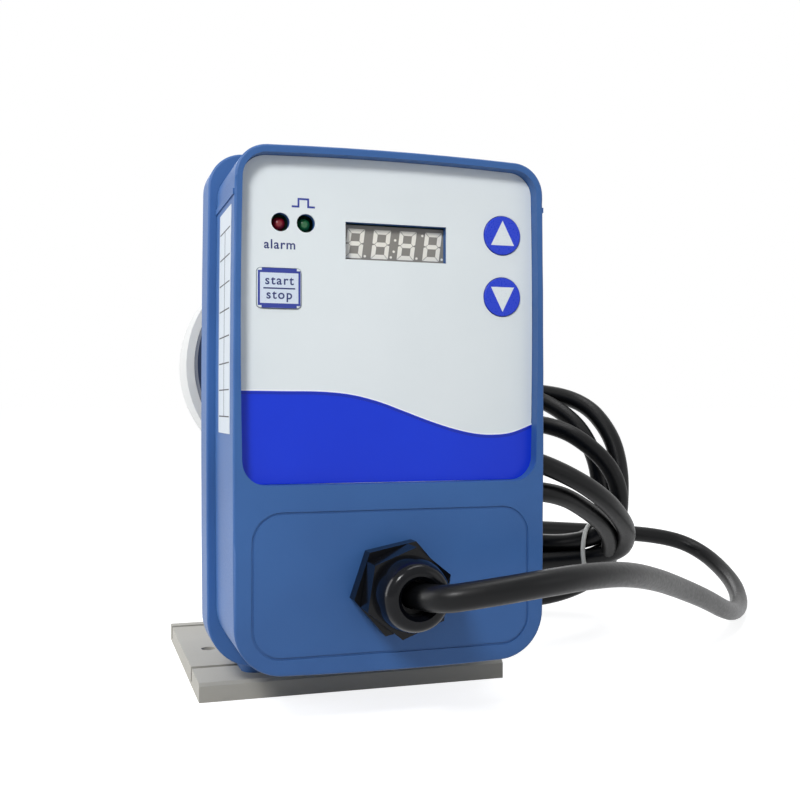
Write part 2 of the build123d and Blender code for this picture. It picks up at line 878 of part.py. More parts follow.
# Pump head: round block with flats for the valves, a chamber and its upright passage
valve_centre = (0, valve_y)
head_recess = diaphragm_thickness - diaphragm_sink
with BuildPart() as pump_head:
    with BuildSketch(front_plane(head_y)):
        with Locations(casing_middle):
            Circle(head_radius)
            Rectangle(2 * head_radius, 2 * head_flat, mode=Mode.INTERSECT)
    extrude(amount=-head_depth)
    fillet(faces().sort_by(Axis.Y)[-1].edges(), head_edge)
    disc(head_y, diaphragm_radius, head_recess, mode=Mode.SUBTRACT)
    disc(head_y + head_recess, chamber_radius, chamber_depth, mode=Mode.SUBTRACT)
    upright(suction_face_z, spigot_radius, spigot_length, valve_centre, Mode.SUBTRACT)
    spigot_z = discharge_face_z - spigot_length
    upright(spigot_z, spigot_radius, spigot_length, valve_centre, Mode.SUBTRACT)
    upright(suction_face_z, port_radius, 2 * head_flat, valve_centre, Mode.SUBTRACT)
    passage_z = chamber_radius - 2 * port_radius
    for side in (-1, 1):
        disc(
            head_y + head_recess,
            passage_radius,
            valve_set - head_recess,
            (0, axis_z + side * passage_z),
            Mode.SUBTRACT,
        )
    for place in head_screw_places:
        disc(head_y, head_screw_radius, head_depth, place, Mode.SUBTRACT)
        disc(
            head_back_y - head_screw_head_height,
            screw_washer_radius + counterbore_gap,
            head_screw_head_height,
            place,
            Mode.SUBTRACT,
        )
    bleed_place = (bleed_x, bleed_z)
    disc(
        head_back_y - bleed_stem_length,
        bleed_stem_radius + bleed_gap,
        bleed_stem_length,
        bleed_place,
        Mode.SUBTRACT,
    )
export(pump_head, "pump_head")

screw_seat_y = head_back_y - head_screw_head_height
screw_end_y = screw_hole_end + screw_spare
with BuildPart() as head_screws:
    for place in head_screw_places:
        disc(screw_end_y, head_screw_radius, screw_seat_y - screw_end_y, place)
        disc(screw_seat_y, screw_washer_radius, screw_washer_height, place)
        disc(
            screw_seat_y + screw_washer_height,
            head_screw_head_radius,
            head_screw_head_height,
            place,
        )
        with BuildSketch(front_plane(screw_seat_y + screw_washer_height + head_screw_head_height)):
            with Locations(place):
                RegularPolygon(head_screw_radius, 6)
        extrude(amount=head_screw_head_height / 2, mode=Mode.SUBTRACT)
export(head_screws, "head_screws")

with BuildPart() as bleed_screw:
    knob_y = head_back_y + bleed_knob_gap
    disc(
        head_back_y - bleed_stem_length + screw_spare,
        bleed_stem_radius,
        knob_y - head_back_y + bleed_stem_length - screw_spare,
        bleed_place,
    )
    disc(knob_y, bleed_knob_radius, bleed_knob_height, bleed_place)
    fillet(faces().sort_by(Axis.Y)[-1].edges(), bleed_knob_edge)
    with BuildSketch(front_plane(knob_y)):
        with Locations(bleed_place):
            with PolarLocations(bleed_knob_radius + bleed_grip_out, bleed_grips):
                Circle(bleed_grip_radius)
    extrude(amount=-bleed_knob_height, mode=Mode.SUBTRACT)
export(bleed_screw, "bleed_screw")


# Check valves: the same seat, seal, ball, union nut and hose barb serve both ports
def export_valve(name, low, seat_z, collar_z, thread_z, spigot_z, nut_z, barb_z, up):
    """One valve on the upright axis. low and the z values are the lower ends of its stretches."""
    length = spigot_length + collar_height + thread_length
    with BuildPart() as body:
        upright(spigot_z, spigot_radius, spigot_length, valve_centre)
        with BuildSketch(Plane.XY.offset(collar_z)):
            with Locations(valve_centre):
                RegularPolygon(collar_radius, 6, major_radius=False)
        extrude(amount=collar_height)
        upright(thread_z, thread_radius, thread_length, valve_centre)
        upright(low, valve_bore, length, valve_centre, Mode.SUBTRACT)
        upright(low, seat_radius, seat_z + seat_height - low, valve_centre, Mode.SUBTRACT)
        upright(seat_z + seat_height, cage_radius, cage_height, valve_centre, Mode.SUBTRACT)
    export(body, f"{name}_valve_body")
    with BuildPart() as seat:
        upright(seat_z, seat_radius, seat_height, valve_centre)
        upright(seat_z, seat_bore, seat_height, valve_centre, Mode.SUBTRACT)
    export(seat, f"{name}_seat")
    with BuildPart() as seal:
        upright(seat_z - seal_height, seat_radius, seal_height, valve_centre)
        upright(
            seat_z - seal_height, seat_radius - seal_width, seal_height, valve_centre, Mode.SUBTRACT
        )
    export(seal, f"{name}_seal")
    with BuildPart() as ball:
        with Locations((0, valve_y, seat_z + seat_height + ball_rise)):
            Sphere(ball_radius)
    export(ball, f"{name}_ball")
    # union nut, its lip away from the head, and the barb it holds
    lip_z = nut_z if not up else nut_z + nut_height - nut_lip
    with BuildPart() as nut:
        upright(nut_z, nut_radius, nut_height, valve_centre)
        with BuildSketch(Plane.XY.offset(nut_z)):
            with Locations(valve_centre):
                with PolarLocations(nut_radius + nut_grip_out, nut_grips):
                    Circle(nut_grip_radius)
        extrude(amount=nut_height, mode=Mode.SUBTRACT)
        upright(nut_z, thread_radius + nut_gap, nut_height, valve_centre, Mode.SUBTRACT)
        upright(lip_z, nut_radius - nut_lip_inset, nut_lip, valve_centre)
        upright(lip_z, barb_radius + barb_ridge + nut_gap, nut_lip, valve_centre, Mode.SUBTRACT)
    export(nut, f"{name}_union_nut")
    flange_z = barb_z if up else barb_z + barb_length
    slope = barb_pitch * barb_slope
    narrow, wide = barb_radius, barb_radius + barb_ridge
    with BuildPart() as barb:
        upright(flange_z, barb_flange_radius, barb_flange_height, valve_centre)
        tube_z = flange_z + barb_flange_height if up else barb_z
        upright(tube_z, barb_radius, barb_length, valve_centre)
        for index in range(barb_ridges):
            tip = index * barb_pitch
            low_z = tube_z + barb_length - tip - slope if up else tube_z + tip
            with BuildSketch(Plane.XY.offset(low_z)) as low_ring:
                with Locations(valve_centre):
                    Circle(wide if up else narrow)
            with BuildSketch(Plane.XY.offset(low_z + slope)) as high_ring:
                with Locations(valve_centre):
                    Circle(narrow if up else wide)
            loft([low_ring.sketch, high_ring.sketch])
        upright(barb_z, valve_bore, barb_length + barb_flange_height, valve_centre, Mode.SUBTRACT)
    export(barb, f"{name}_hose_barb")


ball_rise = math.sqrt(ball_radius**2 - seat_bore**2) + ball_gap
cage_height = ball_rise + ball_radius + ball_lift + cage_spare

# suction valve: thread at the foot, spigot up into the head
suction_collar_z = suction_face_z - collar_height
suction_thread_z = suction_collar_z - thread_length
suction_seat_z = suction_thread_z + seal_height
suction_nut_z = suction_thread_z - barb_flange_height - nut_lip
export_valve(
    "suction",
    suction_thread_z,
    suction_seat_z,
    suction_collar_z,
    suction_thread_z,
    suction_face_z,
    suction_nut_z,
    suction_thread_z - barb_flange_height - barb_length,
    False,
)

# discharge valve: spigot down into the head, thread at the top
discharge_spigot_z = discharge_face_z - spigot_length
discharge_seat_z = discharge_spigot_z + seal_height
discharge_thread_z = discharge_face_z + collar_height
discharge_top_z = discharge_thread_z + thread_length
discharge_nut_z = discharge_top_z + barb_flange_height + nut_lip - nut_height
export_valve(
    "discharge",
    discharge_spigot_z,
    discharge_seat_z,
    discharge_face_z,
    discharge_thread_z,
    discharge_spigot_z,
    discharge_nut_z,
    discharge_top_z,
    True,
)

# Cable gland on the lower field
gland_place = (0, gland_z)


def hexagon(y, across_flats, depth, turn):
    with BuildSketch(front_plane(y)) as profile:
        with Locations(Location((0, gland_z), turn)):
            RegularPolygon(across_flats / 2, 6, major_radius=False)
    extrude(profile.sketch, amount=-depth)


with BuildPart() as gland_body:
    hexagon(gland_y - gland_hex_height, gland_hex, gland_hex_height, gland_turn)
    disc(gland_y, gland_thread, gland_tail, gland_place)
    nose_y = gland_y - gland_hex_height - gland_nose_length
    disc(nose_y, gland_nose_thread, gland_nose_length, gland_place)
    bore_length = gland_tail + gland_hex_height + gland_nose_length
    disc(nose_y, gland_bore, bore_length, gland_place, Mode.SUBTRACT)
export(gland_body, "gland_body")

with BuildPart() as gland_locknut:
    hexagon(gland_y + field_wall, locknut_hex, locknut_height, gland_turn)
    disc(gland_y + field_wall, gland_thread, locknut_height, gland_place, Mode.SUBTRACT)
export(gland_locknut, "gland_locknut")

seal_y = nose_y - seal_length
with BuildPart() as gland_seal:
    disc(seal_y, gland_nose_thread - gland_seal_inset, seal_length, gland_place)
    disc(seal_y, cord_diameter / 2, seal_length, gland_place, Mode.SUBTRACT)
export(gland_seal, "gland_seal")

dome_shoulder = dome_share * nut_hex / 2
with BuildPart() as gland_nut:
    hexagon(nut_dome_y, nut_hex, nut_hex_height, gland_turn + nut_turn)
    with BuildSketch(Plane.YZ) as dome:
        with BuildLine() as dome_line:
            side = Line((nut_dome_y, gland_z), (nut_dome_y, gland_z + dome_shoulder))
            nose = Spline(
                side @ 1,
                (nut_dome_y - dome_bulge * nut_dome_height, gland_z + dome_waist * dome_shoulder),
                (nut_mouth_y, gland_z + nut_mouth_radius - mouth_lip),
                tangents=[(-1, 0), (-0.15, -1)],
            )
            Line(nose @ 1, (nut_mouth_y, gland_z))
            Line((nut_mouth_y, gland_z), side @ 0)
        make_face()
    revolve(axis=Axis((0, 0, gland_z), (0, 1, 0)))
    disc(nut_mouth_y, nut_mouth_bore, nut_y - nut_mouth_y, gland_place, Mode.SUBTRACT)
    disc(seal_y, gland_nose_thread, nut_y - seal_y, gland_place, Mode.SUBTRACT)
    chamfer(faces().sort_by(Axis.Y)[0].edges().sort_by(SortBy.RADIUS)[0], mouth_chamfer)
export(gland_nut, "gland_nut")


# Mains cord: straight runs joined by tangent arcs, each as large as its runs allow
def route_points(route):
    return [Vector(x, front_y + y, z) for x, y, z in route]


def bend_radii(points):
    radii = []
    for before, here, after in zip(points, points[1:], points[2:]):
        run = min((here - before).length, (after - here).length)
        turn = math.radians((here - before).get_angle(after - here))
        radii.append(bend_share * run / math.tan(turn / 2))
    return radii


def export_cord(route, node):
    points = route_points(route)
    radii = bend_radii(points)
    with BuildPart() as cord:
        with BuildLine() as path:
            FilletPolyline(*points, radius=radii)
        with BuildSketch(Plane(origin=path.line @ 0, z_dir=path.line % 0)):
            Circle(cord_diameter / 2)
        sweep(path=path.line)
    section = math.pi * cord_diameter**2 / 4
    length = sum(edge.length for edge in path.edges())
    print(node, "radii", [round(radius) for radius in radii])
    print(node, "length", round(length, 1))
    print(node, "volume over section times length", round(cord.part.volume / (section * length), 4))
    export(cord, node)


export_cord(lead_route, "cord_lead")
export_cord(tail_route, "cord_tail")

# Loose hank: a closed solid of flat bands that share the stretch through the tie and fan out
def heading_vector(heading):
    return Vector(math.cos(math.radians(heading)), math.sin(math.radians(heading)), 0)


def turn_plane(point, heading, lean):
    """Plane of one turn: x along the line of the hank, y up and over by the lean."""
    along = heading_vector(heading)
    across = heading_vector(heading + 90)
    upward = across * math.sin(math.radians(lean)) + Vector(0, 0, math.cos(math.radians(lean)))
    return Plane(origin=route_points([point])[0], x_dir=along, z_dir=along.cross(upward))


with BuildPart() as cord_coil:
    for point, heading, lean, corners in hank_turns:
        with BuildSketch(turn_plane(point, heading, lean)):
            Polygon(*corners, align=None)
            core = offset(amount=-hank_band / 2, kind=Kind.INTERSECTION, mode=Mode.PRIVATE)
            offset(amount=hank_band / 2, kind=Kind.INTERSECTION, mode=Mode.REPLACE)
            add(core, mode=Mode.SUBTRACT)
        extrude(amount=hank_band / 2, both=True)
export(cord_coil, "cord_coil")

tie_plane = Plane(origin=route_points([hank_point])[0], z_dir=heading_vector(hank_heading))
with BuildPart(tie_plane) as cord_tie:
    Torus(tie_radius, tie_wire)
export(cord_tie, "cord_tie")

# Mains plug on the floor behind the base
plug_entry = route_points(tail_route)[-1]
plug_plane = Plane(
    origin=plug_entry,
    x_dir=heading_vector(plug_heading - 90),
    z_dir=heading_vector(plug_heading),
)
boot_plane = plug_plane.offset(boot_length)
pin_plane = plug_plane.offset(boot_length + plug_length)
with BuildPart() as plug_body:
    with BuildSketch(plug_plane):
        Circle(boot_radius)
    with BuildSketch(boot_plane):
        Circle(plug_radius * boot_share)
    loft()
    with BuildSketch(boot_plane):
        Circle(plug_radius)
    extrude(amount=plug_length)
    fillet(edges().filter_by(GeomType.CIRCLE).sort_by(SortBy.RADIUS)[-2:], plug_edge)
export(plug_body, "plug_body")

with BuildPart() as plug_pins:
    with BuildSketch(pin_plane):
        with GridLocations(pin_spacing, 1, 2, 1):
            Circle(pin_radius)
    extrude(amount=pin_length)
    tips = faces().filter_by(GeomType.PLANE).sort_by(Axis(pin_plane.origin, pin_plane.z_dir))[-2:]
    fillet([edge for tip in tips for edge in tip.edges()], pin_edge)
export(plug_pins, "plug_pins")
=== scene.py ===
# %% [markdown]
# # A solenoid metering pump
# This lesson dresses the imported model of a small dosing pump: a blue moulded housing with a
# printed control panel, a cable gland with a black mains cord, a white pump head and a grey base.
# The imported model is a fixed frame. Its pieces stay where they are and get materials, and the
# pieces that need finer work are made here and stand for them.

import math

import bmesh
import bpy
from mathutils import Matrix, Vector
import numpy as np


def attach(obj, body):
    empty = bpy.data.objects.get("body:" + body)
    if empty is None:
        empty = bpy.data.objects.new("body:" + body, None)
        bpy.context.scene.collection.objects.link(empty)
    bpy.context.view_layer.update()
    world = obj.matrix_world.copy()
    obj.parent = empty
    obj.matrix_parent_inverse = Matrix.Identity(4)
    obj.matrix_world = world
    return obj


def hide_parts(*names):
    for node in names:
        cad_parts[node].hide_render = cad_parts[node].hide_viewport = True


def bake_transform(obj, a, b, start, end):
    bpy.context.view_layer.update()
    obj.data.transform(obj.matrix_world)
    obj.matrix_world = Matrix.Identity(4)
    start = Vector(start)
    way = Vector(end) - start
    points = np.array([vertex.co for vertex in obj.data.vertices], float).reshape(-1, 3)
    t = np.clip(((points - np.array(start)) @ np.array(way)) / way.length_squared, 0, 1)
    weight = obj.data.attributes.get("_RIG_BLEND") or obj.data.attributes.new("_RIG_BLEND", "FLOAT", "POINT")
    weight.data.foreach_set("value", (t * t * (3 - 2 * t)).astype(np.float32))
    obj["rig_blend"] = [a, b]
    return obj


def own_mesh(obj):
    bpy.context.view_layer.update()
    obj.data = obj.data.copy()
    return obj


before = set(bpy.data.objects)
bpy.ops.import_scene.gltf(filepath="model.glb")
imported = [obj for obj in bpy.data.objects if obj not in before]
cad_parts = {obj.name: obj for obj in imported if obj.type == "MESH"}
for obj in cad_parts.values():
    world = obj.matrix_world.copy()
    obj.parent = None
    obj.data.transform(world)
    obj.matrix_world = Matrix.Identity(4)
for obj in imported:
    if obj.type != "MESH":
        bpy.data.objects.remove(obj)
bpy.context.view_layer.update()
MM = 0.001
FRONT_Y = -112.5
print("nodes", len(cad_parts))


def place(x, back, z):
    """A point given in mm, measured back from the cover's face, in the model's metres."""
    return Vector((x, FRONT_Y + back, z)) * MM


# %% [markdown]
# ## Camera
# A product picture is taken from a little to the left, level with the middle of the housing.
# The lens and the place below give that view, and the camera has no shift and no depth of field.

# %% Camera
camera_data = bpy.data.cameras.new("camera")
camera_data.sensor_width = 36.0
camera_data.lens = 47.0
camera = bpy.data.objects.new("camera", camera_data)
bpy.context.scene.collection.objects.link(camera)
camera.location = place(-115.0, -367.26, 118.49)
yaw, pitch, roll = math.radians(17.612), math.radians(0.279), math.radians(-0.07)
turn = Matrix.Rotation(-yaw, 4, "Z") @ Matrix.Rotation(math.pi / 2 + pitch, 4, "X")
turn = turn @ Matrix.Rotation(-roll, 4, "Z")
camera.rotation_euler = turn.to_euler()
bpy.context.scene.camera = camera
print("camera at", [round(value, 4) for value in camera.location])

# %% [markdown]
# ## Mains cord
# A 2.2 m mains lead leaves the gland, runs out to the right along the table, comes back behind
# and is gathered in a loose hank held by one wire tie. One NURBS spline follows the whole lead:
# its control points are the corners of the route, so the line is smooth by itself.

# %% Corners of the lead and of the tail
CORD_DIAMETER = 9.6
lead_route = [
    (0.0, -9.5, 52.0),
    (0.5, -34.0, 52.0),
    (20.0, -41.0, 55.2),
    (42.0, -41.0, 57.6),
    (63.0, -32.0, 57.6),
    (87.0, -15.0, 54.5),
    (114.0, 10.0, 47.5),
    (144.0, 38.0, 37.5),
    (177.0, 66.0, 25.5),
    (206.0, 92.0, 13.5),
    (230.0, 118.0, 7.0),
    (250.0, 142.0, 6.2),
    (264.0, 166.0, 11.0),
    (270.0, 188.0, 17.5),
    (269.0, 206.0, 25.0),
    (260.0, 218.0, 31.5),
    (241.0, 224.0, 35.5),
    (216.0, 228.0, 37.5),
    (190.0, 230.0, 39.5),
    (165.0, 229.0, 41.5),
    (140.0, 228.0, 43.0),
    (120.0, 229.0, 49.0),
    (105.0, 234.0, 57.0),
]
tail_route = [(124.0, 185.0, 7.0), (111.0, 189.0, 11.0), (102.0, 192.0, 16.5), (94.0, 195.0, 19.0)]

# %% [markdown]
# The turns of the hank lie flat, each leaning its own way about a line through the tie. A turn is
# a list of corners: along that line, and up and over from it. Near the tie each strand moves to
# its own seat in the bundle, so that no strand lies in another.

# %% Turns of the hank
TIE_POINT = (162.5, 156.3, 39.0)
TIE_HEADING = -45.0
hank_turns = [
    # lean, seat in the bundle at the end of the turn, corners
    (
        17.0,
        (5.0, -5.0),
        [(-105, 46), (-97, 70), (-75, 88), (-46, 93), (-12, 86), (6, 67), (13.5, 46), (15, 24)]
        + [(12, 7)],
    ),
    (
        12.0,
        (5.0, 5.0),
        [(0, -1), (-20, -8), (-44, -12), (-70, -5), (-91, 12), (-99, 36), (-92, 62), (-72, 82)]
        + [(-44, 89), (-15, 74), (-1, 54), (4, 34), (6, 18)],
    ),
    (
        -10.0,
        (-5.0, 5.0),
        [(0, 0), (-24, -4), (-50, -5), (-78, 3), (-98, 20), (-100, 42), (-80, 62)]
        + [(-46, 72), (-14, 69), (6, 56), (16.5, 42), (19, 25), (14, 9)],
    ),
    (
        -60.0,
        (-5.0, -5.0),
        [(0, 0), (-24, -2), (-48, 8), (-68, 28), (-76, 52), (-72, 76), (-60, 96), (-44, 108)]
        + [(-20, 113), (0, 107), (16, 88), (25, 66), (28, 44), (27, 24), (20, 6)],
    ),
]
LOW_POINT = (146.0, 139.0, 41.0)
LOW_LEAN = -50.4
low_turn = [(-86, 12), (-80, 38), (-58, 58), (-32, 54), (-12, 40), (6, 24), (19, 4), (25, -18)]
low_turn += [(20, -36), (6, -48), (-14, -52)]
low_start = [(139.0, 167.0, 31.0), (119.0, 178.0, 29.0), (92.0, 172.0, 32.0), (70.0, 153.0, 38.0)]


def turn_corner(origin, heading, lean, along, up):
    """The place of one corner of a turn, in mm (x, back from the cover's face, z)."""
    head = math.radians(heading)
    tilt = math.radians(lean)
    line = Vector((math.cos(head), math.sin(head), 0))
    across = Vector((-math.sin(head), math.cos(head), 0))
    upward = across * math.sin(tilt) + Vector((0, 0, math.cos(tilt)))
    return Vector(origin) + line * along + upward * up


SEAT_REACH = 30.0
head = math.radians(TIE_HEADING)
tie_across = Vector((-math.sin(head), math.cos(head), 0))


def seated(point, seat):
    """Moves a corner towards its strand's seat, more the nearer it is to the tie."""
    reach = max(0.0, 1 - (point - Vector(TIE_POINT)).length / SEAT_REACH)
    share = min(1.0, 1.6 * reach)
    return point + (tie_across * seat[0] + Vector((0, 0, seat[1]))) * share


corners = [Vector(corner) for corner in lead_route]
seat = (0.0, 0.0)
for lean, end_seat, turn_corners in hank_turns:
    half = len(turn_corners) // 2
    for index, (along, up) in enumerate(turn_corners):
        point = turn_corner(TIE_POINT, TIE_HEADING, lean, along, up)
        corners.append(seated(point, seat if index < half else end_seat))
    seat = end_seat
corners.append(Vector(TIE_POINT) + tie_across * seat[0] + Vector((0, 0, seat[1])))
corners += [Vector(corner) for corner in low_start]
corners += [turn_corner(LOW_POINT, 0.0, LOW_LEAN, along, up) for along, up in low_turn]
corners += [Vector(corner) for corner in tail_route]
print("corners in the cord", len(corners))

# %% The cord's spline
cord_curve = bpy.data.curves.new("mains_cord", "CURVE")
cord_curve.dimensions = "3D"
cord_curve.bevel_depth = CORD_DIAMETER / 2 * MM
cord_curve.bevel_resolution = 7
cord_curve.use_fill_caps = True
cord_curve.resolution_u = 10
spline = cord_curve.splines.new("NURBS")
spline.points.add(len(corners) - 1)
for point, corner in zip(spline.points, corners):
    point.co = (*place(*corner), 1.0)
spline.order_u = 3
spline.use_endpoint_u = True
mains_cord = bpy.data.objects.new("mains_cord", cord_curve)
bpy.context.scene.collection.objects.link(mains_cord)


def spline_points(curve):
    """The points that a curve's own line passes through, read with its bevel put aside."""
    bare = curve.copy()
    bare.bevel_depth = 0
    holder = bpy.data.objects.new("holder", bare)
    bpy.context.scene.collection.objects.link(holder)
    bpy.context.view_layer.update()
    mesh = bpy.data.meshes.new_from_object(holder)
    points = [vertex.co.copy() for vertex in mesh.vertices]
    bpy.data.objects.remove(holder)
    bpy.data.meshes.remove(mesh)
    return points


cord_line = spline_points(cord_curve)

# %% [markdown]
# ## Light
# The studio is a pale floor with five lamps: a small bright one above and to the left, which
# draws the short white glints on the gland and the cord, a weak one on the right, a strip above,
# and two that light the edges from the left and from behind. The floor and the room are white
# only for rays that come straight from the camera or from a glossy surface, so the white around
# the pump adds no light to it, and the floor still keeps the pump's shadow.

# %% Node helper and colours
def add_node(tree, kind, inputs=None, **settings):
    """Adds a node. Settings are its own values; an input is a number, a colour or a socket."""
    made = tree.nodes.new(kind)
    for name, value in settings.items():
        setattr(made, name, value)
    for name, value in (inputs or {}).items():
        socket = made.inputs[name]
        if isinstance(value, bpy.types.NodeSocket):
            tree.links.new(value, socket)
        else:
            socket.default_value = value
    return made


def colour(hex_value):
    """An sRGB colour such as 3c66a0, as the linear values that a shader takes."""
    parts = [int(hex_value[i : i + 2], 16) / 255 for i in (0, 2, 4)]
    linear = [part / 12.92 if part <= 0.04045 else ((part + 0.055) / 1.055) ** 2.4 for part in parts]
    return (*linear, 1.0)


# %% World
scene = bpy.context.scene
scene.view_settings.view_transform = "Standard"
world = bpy.data.worlds.new("studio")
scene.world = world
world.use_nodes = True
tree = world.node_tree
tree.nodes.clear()


def background_rays(tree):
    """One for a ray that should meet the white background, nought for one that brings light."""
    path = add_node(tree, "ShaderNodeLightPath")
    mirrored = add_node(
        tree,
        "ShaderNodeMath",
        {0: path.outputs["Is Glossy Ray"], 1: path.outputs["Is Transmission Ray"]},
        operation="MAXIMUM",
    )
    either = add_node(
        tree,
        "ShaderNodeMath",
        {0: path.outputs["Is Camera Ray"], 1: mirrored.outputs[0]},
        operation="MAXIMUM",
    )
    return either.outputs[0]


ROOM_LIGHT = 0.38  # what the room itself adds, so that shadows stay soft but dark
room = add_node(tree, "ShaderNodeBackground", {"Color": colour("eef1f5"), "Strength": ROOM_LIGHT})
white = add_node(tree, "ShaderNodeBackground", {"Color": (1, 1, 1, 1), "Strength": 1.0})
mix = add_node(
    tree, "ShaderNodeMixShader", {0: background_rays(tree), 1: room.outputs[0], 2: white.outputs[0]}
)
add_node(tree, "ShaderNodeOutputWorld", {"Surface": mix.outputs[0]})
print("room light", ROOM_LIGHT)

# %% Floor
FLOOR_REACH = 30.0  # m, so far out that its edge can't be told from the background
FLOOR_LIFT = 0.84  # brings the floor up to the background's white, and leaves the shadow
floor_mesh = bpy.data.meshes.new("floor")
floor_corners = [(x * FLOOR_REACH, y * FLOOR_REACH, 0) for x, y in ((-1, -1), (1, -1), (1, 1), (-1, 1))]
floor_mesh.from_pydata(floor_corners, [], [(0, 1, 2, 3)])
floor = bpy.data.objects.new("floor", floor_mesh)
scene.collection.objects.link(floor)
floor_material = bpy.data.materials.new("matt_white_floor")
floor_material.use_nodes = True
tree = floor_material.node_tree
tree.nodes.clear()
matt = add_node(tree, "ShaderNodeBsdfDiffuse", {"Color": (0.5, 0.5, 0.5, 1)})
dark = add_node(tree, "ShaderNodeEmission", {"Color": (0, 0, 0, 1), "Strength": 0.0})
lift = add_node(tree, "ShaderNodeEmission", {"Color": (1, 1, 1, 1), "Strength": FLOOR_LIFT})
pick = add_node(
    tree, "ShaderNodeMixShader", {0: background_rays(tree), 1: dark.outputs[0], 2: lift.outputs[0]}
)
total = add_node(tree, "ShaderNodeAddShader", {0: matt.outputs[0], 1: pick.outputs[0]})
add_node(tree, "ShaderNodeOutputMaterial", {"Surface": total.outputs[0]})
floor_mesh.materials.append(floor_material)
print("floor reaches", FLOOR_REACH, "m")


# %% Lamps
def lamp(name, location, power, width, height, target=(0.02, 0.0, 0.12)):
    """A soft rectangular lamp that looks at a target; places and sizes in metres."""
    data = bpy.data.lights.new(name, "AREA")
    data.shape = "RECTANGLE"
    data.size = width
    data.size_y = height
    data.energy = power
    made = bpy.data.objects.new(name, data)
    made.location = location
    direction = Vector(target) - Vector(location)
    made.rotation_euler = direction.to_track_quat("-Z", "Y").to_euler()
    scene.collection.objects.link(made)
    return made


lamp("key_left", (-0.42, -0.62, 0.6), 4.6, 0.2, 0.18)
lamp("fill_right", (0.9, -0.9, 0.5), 1.0, 0.6, 0.6)
lamp("strip_top", (0.2, -0.1, 1.1), 3.4, 0.9, 0.2, (0.12, 0.0, 0.08))
lamp("rim_left", (-1.0, 0.2, 0.4), 5.0, 0.3, 0.8)
lamp("rim_back", (0.3, 1.1, 0.6), 2.4, 0.8, 0.3)
print("lamps", len(bpy.data.lights))

# %% [markdown]
# ## Materials
# Each material starts from what the real piece is made of. Moulded plastics get a fine grain in
# their bump and a slow drift in colour; metals get a roughness that follows fine machining marks.

# %% Material maker
def moulded(name, base, drift, roughness, grain_mm, bump, specular=0.5):
    """Moulded plastic: two close tones, and a fine mould grain in gloss and relief."""
    material = bpy.data.materials.new(name)
    material.use_nodes = True
    tree = material.node_tree
    tree.nodes.clear()
    where = add_node(tree, "ShaderNodeTexCoord")
    slow = add_node(
        tree,
        "ShaderNodeTexNoise",
        {"Vector": where.outputs["Object"], "Scale": 14.0, "Detail": 3.0, "Roughness": 0.55},
    )
    tones = add_node(tree, "ShaderNodeValToRGB", {"Fac": slow.outputs["Fac"]})
    tones.color_ramp.elements[0].position = 0.3
    tones.color_ramp.elements[0].color = colour(drift)
    tones.color_ramp.elements[1].position = 0.7
    tones.color_ramp.elements[1].color = colour(base)
    grain = add_node(
        tree,
        "ShaderNodeTexNoise",
        {"Vector": where.outputs["Object"], "Scale": 1 / (grain_mm * MM), "Detail": 2.0},
    )
    spread = add_node(
        tree,
        "ShaderNodeMapRange",
        {
            "Value": grain.outputs["Fac"],
            "From Min": 0.3,
            "From Max": 0.7,
            "To Min": roughness - 0.05,
            "To Max": roughness + 0.05,
        },
    )
    relief = add_node(
        tree,
        "ShaderNodeBump",
        {"Height": grain.outputs["Fac"], "Strength": bump, "Distance": 0.1 * MM},
    )
    plastic = add_node(
        tree,
        "ShaderNodeBsdfPrincipled",
        {
            "Base Color": tones.outputs["Color"],
            "Roughness": spread.outputs[0],
            "IOR": 1.5,
            "Specular IOR Level": specular,
            "Normal": relief.outputs["Normal"],
        },
    )
    add_node(tree, "ShaderNodeOutputMaterial", {"Surface": plastic.outputs[0]})
    return material


print("material maker ready")

# %% Metal and printed-film makers
def metal(name, base, roughness, grain_mm, stretch=(1, 1, 1)):
    """Bare metal whose roughness follows fine machining marks, which stretch can draw out along an axis."""
    material = bpy.data.materials.new(name)
    material.use_nodes = True
    tree = material.node_tree
    tree.nodes.clear()
    where = add_node(tree, "ShaderNodeTexCoord")
    drawn = add_node(tree, "ShaderNodeMapping", {"Vector": where.outputs["Object"], "Scale": stretch})
    marks = add_node(
        tree,
        "ShaderNodeTexNoise",
        {"Vector": drawn.outputs[0], "Scale": 1 / (grain_mm * MM), "Detail": 3.0},
    )
    spread = add_node(
        tree,
        "ShaderNodeMapRange",
        {"Value": marks.outputs["Fac"], "To Min": roughness - 0.08, "To Max": roughness + 0.1},
    )
    relief = add_node(
        tree,
        "ShaderNodeBump",
        {"Height": marks.outputs["Fac"], "Strength": 0.15, "Distance": 0.05 * MM},
    )
    bare = add_node(
        tree,
        "ShaderNodeBsdfPrincipled",
        {
            "Base Color": colour(base),
            "Metallic": 1.0,
            "Roughness": spread.outputs[0],
            "Normal": relief.outputs["Normal"],
        },
    )
    add_node(tree, "ShaderNodeOutputMaterial", {"Surface": bare.outputs[0]})
    return material


# %% The pump's finishes
# Moulded polypropylene, a little matt: a wide soft sheen on the edges and no clear reflection.
housing_blue = moulded(
    "moulded_blue_polypropylene", "37639f", "2f578f", 0.46, 0.5, 0.3, specular=0.35
)
